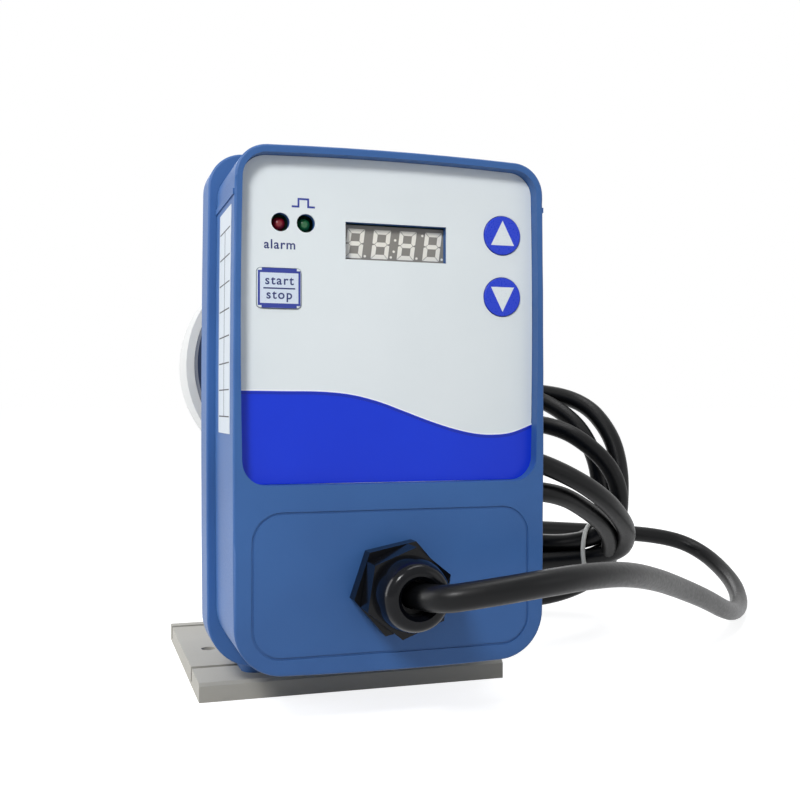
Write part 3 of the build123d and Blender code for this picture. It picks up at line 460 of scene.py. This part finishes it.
# Film and inks are smoother than the housing: flat even colours that look dry and printed.
panel_film = moulded("printed_polyester_film", "e3e9eb", "dde4e6", 0.34, 0.7, 0.05, specular=0.35)
wave_ink = moulded("wave_blue_ink", "1038d2", "0e32c8", 0.34, 0.7, 0.05, specular=0.3)
wave_shade_ink = moulded("wave_shade_ink", "142eb0", "122aa8", 0.34, 0.7, 0.05, specular=0.3)
white_ink = moulded("white_ink", "f4f6f8", "eef1f4", 0.3, 0.7, 0.06)
navy_ink = moulded("navy_ink", "22306e", "1e2b66", 0.35, 0.7, 0.06)
frame_ink = moulded("frame_blue_ink", "2b3c96", "27378c", 0.35, 0.7, 0.06)
key_blue = moulded("moulded_blue_key", "1f3fcf", "1c39c4", 0.3, 0.6, 0.08, specular=0.4)
key_white = moulded("key_white_ink", "e4eaec", "dce3e6", 0.3, 0.6, 0.08)
key_film = moulded("start_key_film", "d6e0ec", "cfdae8", 0.3, 0.6, 0.06)
# The unlit module: pale resin bars in a dull grey face, clear to read without any light.
display_grey = moulded("display_grey_face", "8c8983", "85827c", 0.35, 0.5, 0.1, specular=0.3)
segment_white = moulded("unlit_segment_resin", "f0ede3", "e8e5db", 0.3, 0.4, 0.05)
# Clear-faced resin, the smoothest plastic here: a dark lens with one small bright point.
red_lens = moulded("red_led_resin", "8c1420", "7a101b", 0.12, 0.4, 0.02)
green_lens = moulded("green_led_resin", "1c6b3a", "175c31", 0.12, 0.4, 0.02)
# Three blacks told apart by gloss: shiny gland, satin sheath, dull rubber plug.
black_nylon = moulded("moulded_black_nylon", "090b10", "06070b", 0.17, 0.6, 0.05, specular=0.18)
cord_pvc = moulded("black_pvc_sheath", "08090b", "060709", 0.37, 1.4, 0.02, specular=0.2)
plug_pvc = moulded("black_plug_rubber", "17181a", "121315", 0.42, 0.6, 0.2)
# The liquid end: white and grey plastics with a satin face that shades softly round the head.
tie_plastic = moulded("pale_tie_plastic", "efefe9", "e6e6e0", 0.35, 0.5, 0.1)
head_white = moulded("white_polypropylene", "e2e3e2", "d9dbda", 0.38, 0.6, 0.12)
valve_grey = moulded("grey_pvc_valve", "a9acad", "9ea2a3", 0.4, 0.6, 0.12)
nut_grey = moulded("dark_grey_pp_nut", "5f6469", "565b60", 0.42, 0.6, 0.15)
adapter_dark = moulded("dark_blue_adapter", "1d2b45", "19263d", 0.45, 0.6, 0.15)
# Extruded base, gasket and board: dull faces that stay behind the housing.
base_grey = moulded("extruded_grey_base", "aeaba2", "a4a198", 0.5, 0.7, 0.2, specular=0.3)
rubber_black = moulded("black_gasket_rubber", "1b1b1c", "161617", 0.6, 0.5, 0.2)
board_green = moulded("green_circuit_board", "1d5a3a", "184e32", 0.4, 0.8, 0.1)
# The label is cooler and duller than the panel's film, so it reads as paper-like.
label_film = moulded("matt_white_label", "cdd5dc", "c6ced6", 0.45, 0.5, 0.06)
label_ink = moulded("black_label_ink", "2a2d33", "24272c", 0.5, 0.5, 0.06)
# Bare metals with fine marks: sharp highlights that break up, and a tone for each metal.
steel = metal("stainless_steel", "c7c8ca", 0.28, 0.5)
brass = metal("drawn_brass", "c9a45a", 0.3, 0.5)
copper = metal("enamelled_copper", "b86b3c", 0.35, 0.6)
iron = metal("zinc_plated_steel", "a8aaad", 0.36, 0.7)

finishes = {
    "base_plate": base_grey,
    "base_screws": steel,
    "front_cover": housing_blue,
    "rear_housing": housing_blue,
    "panel_overlay": panel_film,
    "up_key": key_blue,
    "down_key": key_blue,
    "start_stop_key": panel_film,
    "display_module": display_grey,
    "alarm_led": red_lens,
    "pulse_led": green_lens,
    "key_switches": rubber_black,
    "control_board": board_green,
    "board_screws": steel,
    "cover_gasket": rubber_black,
    "cover_screws": steel,
    "solenoid_yoke": iron,
    "winding_bobbin": black_nylon,
    "solenoid_winding": copper,
    "pole_piece": iron,
    "guide_bush": brass,
    "armature": iron,
    "plunger_shaft": steel,
    "return_spring": steel,
    "head_adapter": adapter_dark,
    "support_disc": steel,
    "diaphragm": head_white,
    "pump_head": head_white,
    "head_screws": steel,
    "bleed_screw": nut_grey,
    "gland_body": black_nylon,
    "gland_locknut": black_nylon,
    "gland_seal": rubber_black,
    "gland_nut": black_nylon,
    "cord_lead": cord_pvc,
    "cord_tail": cord_pvc,
    "cord_coil": cord_pvc,
    "cord_tie": tie_plastic,
    "plug_body": plug_pvc,
    "plug_pins": brass,
}
for side in ("suction", "discharge"):
    finishes[f"{side}_valve_body"] = valve_grey
    finishes[f"{side}_seat"] = head_white
    finishes[f"{side}_seal"] = rubber_black
    finishes[f"{side}_ball"] = steel
    finishes[f"{side}_union_nut"] = nut_grey
    finishes[f"{side}_hose_barb"] = valve_grey
for name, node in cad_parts.items():
    node.data.materials.clear()
    node.data.materials.append(finishes[name])
missing = sorted(set(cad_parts) - set(finishes))
print("nodes without a finish", missing)

# %% Mesh helpers
def to_object(name, mesh_data, material, body="pump", smooth_angle=None):
    """Makes an object at the origin from mesh data in metres, and lets it ride on a body."""
    made = bpy.data.objects.new(name, mesh_data)
    scene.collection.objects.link(made)
    mesh_data.materials.clear()
    mesh_data.materials.append(material)
    if smooth_angle is not None:
        mesh_data.shade_smooth()
        mesh_data.set_sharp_from_angle(angle=math.radians(smooth_angle))
    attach(made, body)
    return made


def outline_mesh(name, outlines, back, thickness, holes=()):
    """A thin plate of one or more outlines (x, z in mm) facing the front, its face at `back`."""
    curve = bpy.data.curves.new(name, "CURVE")
    curve.dimensions = "2D"
    curve.fill_mode = "BOTH"
    curve.extrude = thickness / 2 * MM
    for outline in [*outlines, *holes]:
        ring = curve.splines.new("POLY")
        ring.points.add(len(outline) - 1)
        for point, (x, z) in zip(ring.points, outline):
            point.co = (x * MM, z * MM, 0, 1)
        ring.use_cyclic_u = True
    holder = bpy.data.objects.new("holder", curve)
    scene.collection.objects.link(holder)
    bpy.context.view_layer.update()
    mesh = bpy.data.meshes.new_from_object(holder)
    bpy.data.objects.remove(holder)
    stand = Matrix.Translation((0, (FRONT_Y + back + thickness / 2) * MM, 0)) @ Matrix.Rotation(
        math.pi / 2, 4, "X"
    )
    mesh.transform(stand)
    return mesh


def outline_solid(name, outlines, back, thickness, material, body="pump", holes=()):
    """The plate of outline_mesh as a finished piece."""
    return to_object(name, outline_mesh(name, outlines, back, thickness, holes), material, body)


def ring_points(x, z, radius, count=48, start=0.0):
    return [
        (
            x + radius * math.cos(start + 2 * math.pi * i / count),
            z + radius * math.sin(start + 2 * math.pi * i / count),
        )
        for i in range(count)
    ]


def box_points(x, z, width, height):
    return [
        (x - width / 2, z - height / 2),
        (x + width / 2, z - height / 2),
        (x + width / 2, z + height / 2),
        (x - width / 2, z + height / 2),
    ]


# %% [markdown]
# ## Geometry Nodes that repeat a piece
# The clock figures and the lines on the side label each come again and again at an even step.
# Geometry Nodes do that best: the tree below takes a piece, sets copies of it along a line, makes
# them real and gives them their finish. Its sizes are named inputs, so one tree serves them all.

# %% Tree: copies along a line
def node_tree(name, inputs):
    """An empty tree that takes the piece and the named inputs, and gives back geometry."""
    tree = bpy.data.node_groups.new(name, "GeometryNodeTree")
    tree.interface.new_socket("Piece", in_out="INPUT", socket_type="NodeSocketGeometry")
    for label, kind in inputs.items():
        tree.interface.new_socket(label, in_out="INPUT", socket_type=kind)
    tree.interface.new_socket("Result", in_out="OUTPUT", socket_type="NodeSocketGeometry")
    given = add_node(tree, "NodeGroupInput")
    return tree, given.outputs


copies_tree, given = node_tree(
    "copies_along_a_line",
    {"Count": "NodeSocketInt", "Step": "NodeSocketVector", "Finish": "NodeSocketMaterial"},
)
line = add_node(copies_tree, "GeometryNodeMeshLine", {"Count": given["Count"], "Offset": given["Step"]})
copies = add_node(
    copies_tree,
    "GeometryNodeInstanceOnPoints",
    {"Points": line.outputs["Mesh"], "Instance": given["Piece"]},
)
real = add_node(copies_tree, "GeometryNodeRealizeInstances", {"Geometry": copies.outputs[0]})
finished = add_node(
    copies_tree, "GeometryNodeSetMaterial", {"Geometry": real.outputs[0], "Material": given["Finish"]}
)
add_node(copies_tree, "NodeGroupOutput", {"Result": finished.outputs[0]})
print("inputs", [item.name for item in copies_tree.interface.items_tree])


# %% Running a tree
def worked_mesh(mesh, tree, values):
    """Runs a tree over a mesh and returns what comes out as a plain mesh."""
    holder = bpy.data.objects.new("holder", mesh)
    scene.collection.objects.link(holder)
    modifier = holder.modifiers.new("maker", "NODES")
    modifier.node_group = tree
    for item in tree.interface.items_tree:
        if item.in_out == "INPUT" and item.name in values:
            modifier[item.identifier] = values[item.name]
    evaluated = holder.evaluated_get(bpy.context.evaluated_depsgraph_get())
    made = bpy.data.meshes.new_from_object(evaluated)
    holder.modifiers.clear()
    bpy.data.objects.remove(holder)
    return made


# %% [markdown]
# ## Printed panel
# The real panel is a polyester film that is screen printed from behind: a white field, a blue
# wave with a thin white line along it, and a few marks. Each printed area is a very thin solid
# that lies on the film, so its edges stay sharp at any distance.

# %% The wave
OVERLAY_BACK = 5.0  # mm, the film's face behind the cover's
PRINT = 0.05  # mm, thickness of a print
HALF_WIDTH = 57.1
FILM_FOOT = 89.75
FILM_RADIUS = 9.0
CORNER_STEPS = 12
crest = [
    (-57.1, 123.6), (-41.0, 123.5), (-27.7, 123.4), (-16.3, 122.4), (-5.6, 119.9), (4.3, 116.4),
    (15.3, 112.4), (25.5, 109.3), (33.8, 107.6), (41.2, 107.2), (48.7, 108.0), (57.1, 111.0),
]


def smooth_line(points, steps=8):
    """A Catmull-Rom line through the points."""
    padded = [points[0], *points, points[-1]]
    line = []
    for a, b, c, d in zip(padded, padded[1:], padded[2:], padded[3:]):
        for step in range(steps):
            t = step / steps
            line.append(
                tuple(
                    0.5
                    * (
                        2 * b[k]
                        + (c[k] - a[k]) * t
                        + (2 * a[k] - 5 * b[k] + 4 * c[k] - d[k]) * t * t
                        + (3 * b[k] - a[k] - 3 * c[k] + d[k]) * t**3
                    )
                    for k in (0, 1)
                )
            )
    line.append(points[-1])
    return line


def recess_edge(inset):
    """Lower edge of the film with its two round corners, from right to left."""
    radius = FILM_RADIUS - inset
    right, low = HALF_WIDTH - inset, FILM_FOOT + inset
    edge = []
    for step in range(CORNER_STEPS + 1):
        a = -math.pi / 2 * step / CORNER_STEPS
        edge.append((right - radius + radius * math.cos(a), low + radius + radius * math.sin(a)))
    edge += [(-x, z) for x, z in reversed(edge)]
    return edge


wave_top = smooth_line(crest)
WAVE_INSET = 0.12  # mm, kept clear of the film's edge
inner_top = [(x * (1 - WAVE_INSET / HALF_WIDTH), z) for x, z in wave_top]
outline_solid(
    "printed_wave", [inner_top + recess_edge(WAVE_INSET)], OVERLAY_BACK - PRINT, PRINT, wave_ink
)
WAVE_LINE = 0.5
line_high = [(x, z + WAVE_LINE) for x, z in inner_top]
outline_solid("wave_line", [line_high + inner_top[::-1]], OVERLAY_BACK - PRINT, PRINT, white_ink)
SHADE_TOP, SHADE_FOOT = 0.25, 1.2  # mm below the crest
shade_low = [(x, z - SHADE_FOOT) for x, z in inner_top]
shade_high = [(x, z - SHADE_TOP) for x, z in inner_top]
shade = shade_high + shade_low[::-1]
outline_solid("wave_shade", [shade], OVERLAY_BACK - 2 * PRINT, PRINT, wave_shade_ink)
print("printed wave from", crest[0], "to", crest[-1])

# %% Pulse mark and words
def stroke(points, width):
    """Outline of a line of straight runs with mitred corners, in the panel's plane."""
    left, right = [], []
    for i, (x, z) in enumerate(points):
        before = points[i - 1] if i else None
        after = points[i + 1] if i + 1 < len(points) else None
        normals = []
        for a, b in ((before, (x, z)), ((x, z), after)):
            if a and b:
                dx, dz = b[0] - a[0], b[1] - a[1]
                length = math.hypot(dx, dz)
                normals.append((-dz / length, dx / length))
        nx = sum(n[0] for n in normals) / len(normals)
        nz = sum(n[1] for n in normals) / len(normals)
        scale = width / 2 / (nx * nx + nz * nz)
        left.append((x + nx * scale, z + nz * scale))
        right.append((x - nx * scale, z - nz * scale))
    return left + right[::-1]


PULSE_LINE = 0.7
pulse = [(-38.1, 190.5), (-35.6, 190.5), (-35.6, 193.3)]
pulse += [(-32.0, 193.3), (-32.0, 190.5), (-29.5, 190.5)]
outline_solid("pulse_mark", [stroke(pulse, PULSE_LINE)], OVERLAY_BACK - PRINT, PRINT, frame_ink)

INK_SPREAD = 0.03  # share of a letter's height by which its lines are thickened
X_HEIGHT = 0.52  # height of an x as a share of the font's size


def printed_word(name, word, x, z, height, back, material, body="pump", spacing=1.0):
    """A word of thin raised ink: x is its middle and z its baseline, height that of an x."""
    text = bpy.data.curves.new(name, "FONT")
    text.body = word
    text.align_x = "CENTER"
    text.size = height / X_HEIGHT * MM
    text.space_character = spacing
    text.extrude = PRINT / 2 * MM
    text.offset = INK_SPREAD * height * MM
    holder = bpy.data.objects.new("holder", text)
    scene.collection.objects.link(holder)
    bpy.context.view_layer.update()
    mesh = bpy.data.meshes.new_from_object(holder)
    bpy.data.objects.remove(holder)
    stand = Matrix.Translation(place(x, back + PRINT / 2, z)) @ Matrix.Rotation(math.pi / 2, 4, "X")
    mesh.transform(stand)
    return to_object(name, mesh, material, body)


alarm_back = OVERLAY_BACK - PRINT
printed_word("word_alarm", "alarm", -42.4, 174.9, 2.45, alarm_back, navy_ink, spacing=1.12)
print("alarm mark and word printed")

# %% [markdown]
# ## Keys
# Two round keys carry white triangles, and a square one says what it does. The caps are the
# frame's own, so they move with their joints; what is printed on them rides on the same bodies.

# %% Marks on the keys
KEY_BACK = 4.4  # mm, the caps' faces behind the cover's
KEY_X, UP_Z, DOWN_Z = 44.4, 183.9, 160.2
first_ink, second_ink = KEY_BACK - PRINT, KEY_BACK - 2 * PRINT
triangle = [(-4.8, -3.8), (4.8, -3.8), (0.0, 5.7)]
up_mark = [(KEY_X + x, UP_Z + z) for x, z in triangle]
down_mark = [(KEY_X + x, DOWN_Z - z) for x, z in triangle][::-1]
outline_solid("up_triangle", [up_mark], first_ink, PRINT, key_white, "up_key")
outline_solid("down_triangle", [down_mark], first_ink, PRINT, key_white, "down_key")

START_X, START_Z = -42.7, 160.6
START_KEY = "start_stop_key"
FRAME_OUTER, FRAME_INNER = (15.6, 12.6), (14.0, 11.0)
TAB_SIZE, TAB_PLACE = (12.8, 0.9), 6.75
DIVIDER = (11.6, 0.5)
LETTERS, LETTER_SPACING = 2.4, 1.2
outer = box_points(START_X, START_Z, *FRAME_OUTER)
inner = box_points(START_X, START_Z, *FRAME_INNER)
outline_solid("start_frame", [outer], first_ink, PRINT, frame_ink, START_KEY, [inner[::-1]])
outline_solid("start_field", [inner], first_ink, PRINT, key_film, START_KEY)
for name, dz in (("start_frame_top", TAB_PLACE), ("start_frame_foot", -TAB_PLACE)):
    bar = box_points(START_X, START_Z + dz, *TAB_SIZE)
    outline_solid(name, [bar], first_ink, PRINT, frame_ink, START_KEY)
divider = box_points(START_X, START_Z - 0.1, *DIVIDER)
outline_solid("start_divider", [divider], second_ink, PRINT, navy_ink, START_KEY)
for word, dz in (("start", 1.3), ("stop", -3.85)):
    low = START_Z + dz
    name = f"word_{word}"
    printed_word(
        name, word, START_X, low, LETTERS, second_ink, navy_ink, START_KEY, LETTER_SPACING
    )
print("marks on three keys")

# %% [markdown]
# ## Display
# A clock module with four seven-bar figures looks out of the window. None of its bars is lit, so
# they show as pale resin in the grey face, with a thin dark gap where two bars meet. One figure is
# drawn bar by bar, each with its ends cut at the corners, and Geometry Nodes repeat it.

# %% One figure
FACE_BACK = 8.5  # mm, the module's face behind the cover's
BAR = 0.06  # mm, how far a bar stands out
LEAN = 0.125
WIDE, TALL, THICK, GAP = 6.7, 10.9, 1.65, 0.14
FIGURE_X, FIGURE_Z, FIGURE_STEP = -13.5, 178.7, 10.17


def leaning(points):
    """Points of a figure about its middle, leaned to the right and put in the panel, in mm."""
    return [(FIGURE_X + px + pz * LEAN, FIGURE_Z + pz) for px, pz in points]


def figure_bars():
    """Outlines of the seven bars: level ones at top, middle and foot, and four upright ones."""
    half_wide, half_tall, tip = WIDE / 2, TALL / 2, THICK / 2
    level = half_wide - GAP
    reach = half_wide - THICK - GAP
    inside = half_tall - THICK
    top = [(-level, half_tall), (-reach, inside), (reach, inside), (level, half_tall)]
    waist = half_wide - tip - GAP
    middle = [(-waist, 0), (tip - waist, -tip), (waist - tip, -tip), (waist, 0)]
    middle += [(waist - tip, tip), (tip - waist, tip)]
    crown = half_tall - GAP
    side = [(half_wide, crown), (half_wide - THICK, crown - THICK), (half_wide - THICK, tip + GAP)]
    side += [(half_wide - tip, GAP), (half_wide, tip / 2)]
    bars = [middle]
    for up in (1, -1):
        bars.append([(px, pz * up) for px, pz in top])
        bars += [[(px * across, pz * up) for px, pz in side] for across in (1, -1)]
    return bars


one_figure = outline_mesh("figure", [leaning(bar) for bar in figure_bars()], FACE_BACK - BAR, BAR)
print("bars in a figure", len(figure_bars()))

# %% Four figures and their dots
figures = worked_mesh(
    one_figure,
    copies_tree,
    {"Count": 4, "Step": (FIGURE_STEP * MM, 0.0, 0.0), "Finish": segment_white},
)
to_object("clock_figures", figures, segment_white)
DOT = 0.48  # mm, radius
one_dot = outline_mesh(
    "dot", [ring_points(FIGURE_X + 3.9, FIGURE_Z - 4.6, DOT, 16)], FACE_BACK - BAR, BAR
)
points = worked_mesh(
    one_dot,
    copies_tree,
    {"Count": 4, "Step": (FIGURE_STEP * MM, 0.0, 0.0), "Finish": segment_white},
)
to_object("decimal_points", points, segment_white)
colon = [ring_points(x, z, DOT, 16) for x, z in ((2.3, 180.6), (1.7, 176.3), (13.1, 182.8))]
outline_solid("colon_and_mark", colon, FACE_BACK - BAR, BAR, segment_white)
print("faces in the figures", len(figures.polygons))

# %% [markdown]
# ## Side label
# A white film label is stuck to the left side of the cover. On the real pump it carries a table;
# here it is only ruled. The side is bowed, so the label is a thin slab of many small faces, and a
# tree casts each of its points sideways onto the cover, which is what a hand does when it smooths
# a label down.

# %% Tree: laid on the cover's side
laid_tree, given = node_tree(
    "laid_on_the_side",
    {
        "Surface": "NodeSocketObject",
        "Start": "NodeSocketFloat",
        "Lift": "NodeSocketFloat",
        "Finish": "NodeSocketMaterial",
    },
)
surface = add_node(laid_tree, "GeometryNodeObjectInfo", {"Object": given["Surface"]})
here = add_node(laid_tree, "GeometryNodeInputPosition")
hit = add_node(
    laid_tree,
    "GeometryNodeRaycast",
    {
        "Target Geometry": surface.outputs["Geometry"],
        "Source Position": here.outputs[0],
        "Ray Direction": (1.0, 0.0, 0.0),
        "Ray Length": 0.2,
    },
)
found = add_node(laid_tree, "ShaderNodeSeparateXYZ", {0: hit.outputs["Hit Position"]})
clear = add_node(
    laid_tree, "ShaderNodeMath", {0: given["Start"], 1: given["Lift"]}, operation="ADD"
)
shift = add_node(
    laid_tree, "ShaderNodeMath", {0: found.outputs["X"], 1: clear.outputs[0]}, operation="SUBTRACT"
)
sideways = add_node(laid_tree, "ShaderNodeCombineXYZ", {"X": shift.outputs[0]})
laid = add_node(
    laid_tree,
    "GeometryNodeSetPosition",
    {"Geometry": given["Piece"], "Selection": hit.outputs["Is Hit"], "Offset": sideways.outputs[0]},
)
real = add_node(laid_tree, "GeometryNodeRealizeInstances", {"Geometry": laid.outputs[0]})
finished = add_node(
    laid_tree, "GeometryNodeSetMaterial", {"Geometry": real.outputs[0], "Material": given["Finish"]}
)
add_node(laid_tree, "NodeGroupOutput", {"Result": finished.outputs[0]})
print("nodes in the tree", len(laid_tree.nodes))

# %% Label and rules
SLAB_START = -0.1  # m, well out to the left of the cover
LABEL_BACK, LABEL_Z = (7.0, 35.5), (108.0, 190.5)
LABEL_FILM, RULE_FILM, RULE = 0.15, 0.06, 0.45
GLUE = 0.02  # mm, clear of the cover
MARGIN_SIDE, MARGIN_FOOT = 2, 6
RULE_COUNT, RULE_STEP = 8, 9.8
COLUMN_PLACE, COLUMN_HEIGHT = 14, 68.6


def side_slab(back, low, width, height, columns, rows, thickness):
    """A closed thin slab facing left, of small square faces, out beside the cover."""
    slab = bmesh.new()
    bmesh.ops.create_grid(slab, x_segments=columns, y_segments=rows, size=0.5)
    faces = bmesh.ops.extrude_face_region(slab, geom=slab.faces[:])
    for item in faces["geom"]:
        if isinstance(item, bmesh.types.BMVert):
            item.co.z = 1.0
    corner = place(0, back, low)
    for vert in slab.verts:
        across, along, out = vert.co.x + 0.5, vert.co.y + 0.5, vert.co.z
        vert.co = (
            SLAB_START - out * thickness * MM,
            corner.y + across * width * MM,
            corner.z + along * height * MM,
        )
    bmesh.ops.recalc_face_normals(slab, faces=slab.faces[:])
    mesh = bpy.data.meshes.new("slab")
    slab.to_mesh(mesh)
    slab.free()
    return mesh


def on_side(name, mesh, lift, material):
    """Lays a slab on the cover's side and makes it a piece of the pump."""
    values = {"Surface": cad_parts["front_cover"], "Start": SLAB_START, "Finish": material}
    laid_mesh = worked_mesh(mesh, laid_tree, {**values, "Lift": lift * MM})
    return to_object(name, laid_mesh, material)


label_back, label_low = LABEL_BACK[0], LABEL_Z[0]
label_width = LABEL_BACK[1] - label_back
label_height = LABEL_Z[1] - label_low
label = side_slab(label_back, label_low, label_width, label_height, 10, 40, LABEL_FILM)
on_side("side_label", label, GLUE, label_film)
ruled_low = label_low + MARGIN_FOOT
rule_length = label_width - 2 * MARGIN_SIDE
one_rule = side_slab(label_back + MARGIN_SIDE, ruled_low, rule_length, RULE, 10, 1, RULE_FILM)
rules = worked_mesh(
    one_rule,
    copies_tree,
    {"Count": RULE_COUNT, "Step": (0.0, 0.0, RULE_STEP * MM), "Finish": label_ink},
)
on_side("label_rules", rules, GLUE + LABEL_FILM, label_ink)
column = side_slab(label_back + COLUMN_PLACE, ruled_low, RULE, COLUMN_HEIGHT, 1, 34, RULE_FILM)
on_side("label_column", column, GLUE + LABEL_FILM, label_ink)
print("label", round(label_width, 1), "by", round(label_height, 1), "mm")

# %% [markdown]
# ## What bends with the plunger
# The return spring is a wire coil that gets shorter as the armature comes forward. The diaphragm
# is a white PTFE-faced disc: its rim is clamped between adapter and head, and its middle goes with
# the shaft. A rigid piece can't do either, so both are made again here. The spring is a copy of the
# frame's coil on a mesh of its own that rides on the pump; nothing here makes it shorter. The
# diaphragm is turned with rings between hub and rim, so that it can follow the pump at its rim and
# the plunger in its middle. The frame's own blend shares a motion out along a straight line. A
# diaphragm needs it shared by radius, so the shares that the call wrote are written over here,
# under the name that the frame uses for them.

# %% Spring
AXIS_Z = 139.0  # mm, the drive's axis
spring = to_object("coil_spring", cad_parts["return_spring"].data.copy(), steel)
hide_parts("return_spring")
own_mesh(spring)

# %% Diaphragm
SHAFT_BORE, HUB, STIFF, CLAMPED, RIM = 4.05, 12.0, 16.0, 33.0, 43.0  # mm, radii
HUB_Y, BACK_Y, WET_Y = 58.5, 62.5, 64.9
WEB_RINGS, TURN_STEPS = 12, 96
web = [STIFF + (CLAMPED - STIFF) * i / WEB_RINGS for i in range(WEB_RINGS + 1)]
profile = [(0, BACK_Y), (SHAFT_BORE, BACK_Y), (SHAFT_BORE, HUB_Y), (HUB, HUB_Y), (HUB, BACK_Y)]
profile += [(radius, BACK_Y) for radius in web] + [(RIM, BACK_Y), (RIM, WET_Y)]
profile += [(radius, WET_Y) for radius in reversed(web)] + [(0, WET_Y)]
work = bmesh.new()
points = [work.verts.new((radius * MM, y * MM, AXIS_Z * MM)) for radius, y in profile]
edges = [work.edges.new(pair) for pair in zip(points, points[1:])]
bmesh.ops.spin(
    work,
    geom=points + edges,
    cent=(0, 0, AXIS_Z * MM),
    axis=(0, 1, 0),
    angle=2 * math.pi,
    steps=TURN_STEPS,
)
bmesh.ops.remove_doubles(work, verts=work.verts[:], dist=0.001 * MM)
bmesh.ops.recalc_face_normals(work, faces=work.faces[:])
disc_mesh = bpy.data.meshes.new("flexing_diaphragm")
work.to_mesh(disc_mesh)
work.free()
disc_mesh.materials.append(head_white)
flexing = bpy.data.objects.new("flexing_diaphragm", disc_mesh)
scene.collection.objects.link(flexing)
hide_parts("diaphragm")
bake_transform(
    flexing, "pump", "plunger", start=(0, WET_Y * MM, AXIS_Z * MM), end=(0, HUB_Y * MM, AXIS_Z * MM)
)
share = disc_mesh.attributes["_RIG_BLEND"].data
for vertex in disc_mesh.vertices:
    reach_out = math.hypot(vertex.co.x, vertex.co.z - AXIS_Z * MM) / MM
    inward = min(1.0, max(0.0, (CLAMPED - reach_out) / (CLAMPED - STIFF)))
    share[vertex.index].value = inward * inward * (3 - 2 * inward)
print("diaphragm of", len(disc_mesh.vertices), "points, clamped outside", CLAMPED, "mm")

# %% [markdown]
# ## The cord's declaration
# The cord is told to the frame as a piece that rides on the pump's body, and the CAD tubes that it
# stands for are replaced. The plug and the tie are separate pieces on it.

cord_curve.materials.append(cord_pvc)
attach(mains_cord, "pump")
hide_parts("cord_lead", "cord_coil", "cord_tail")
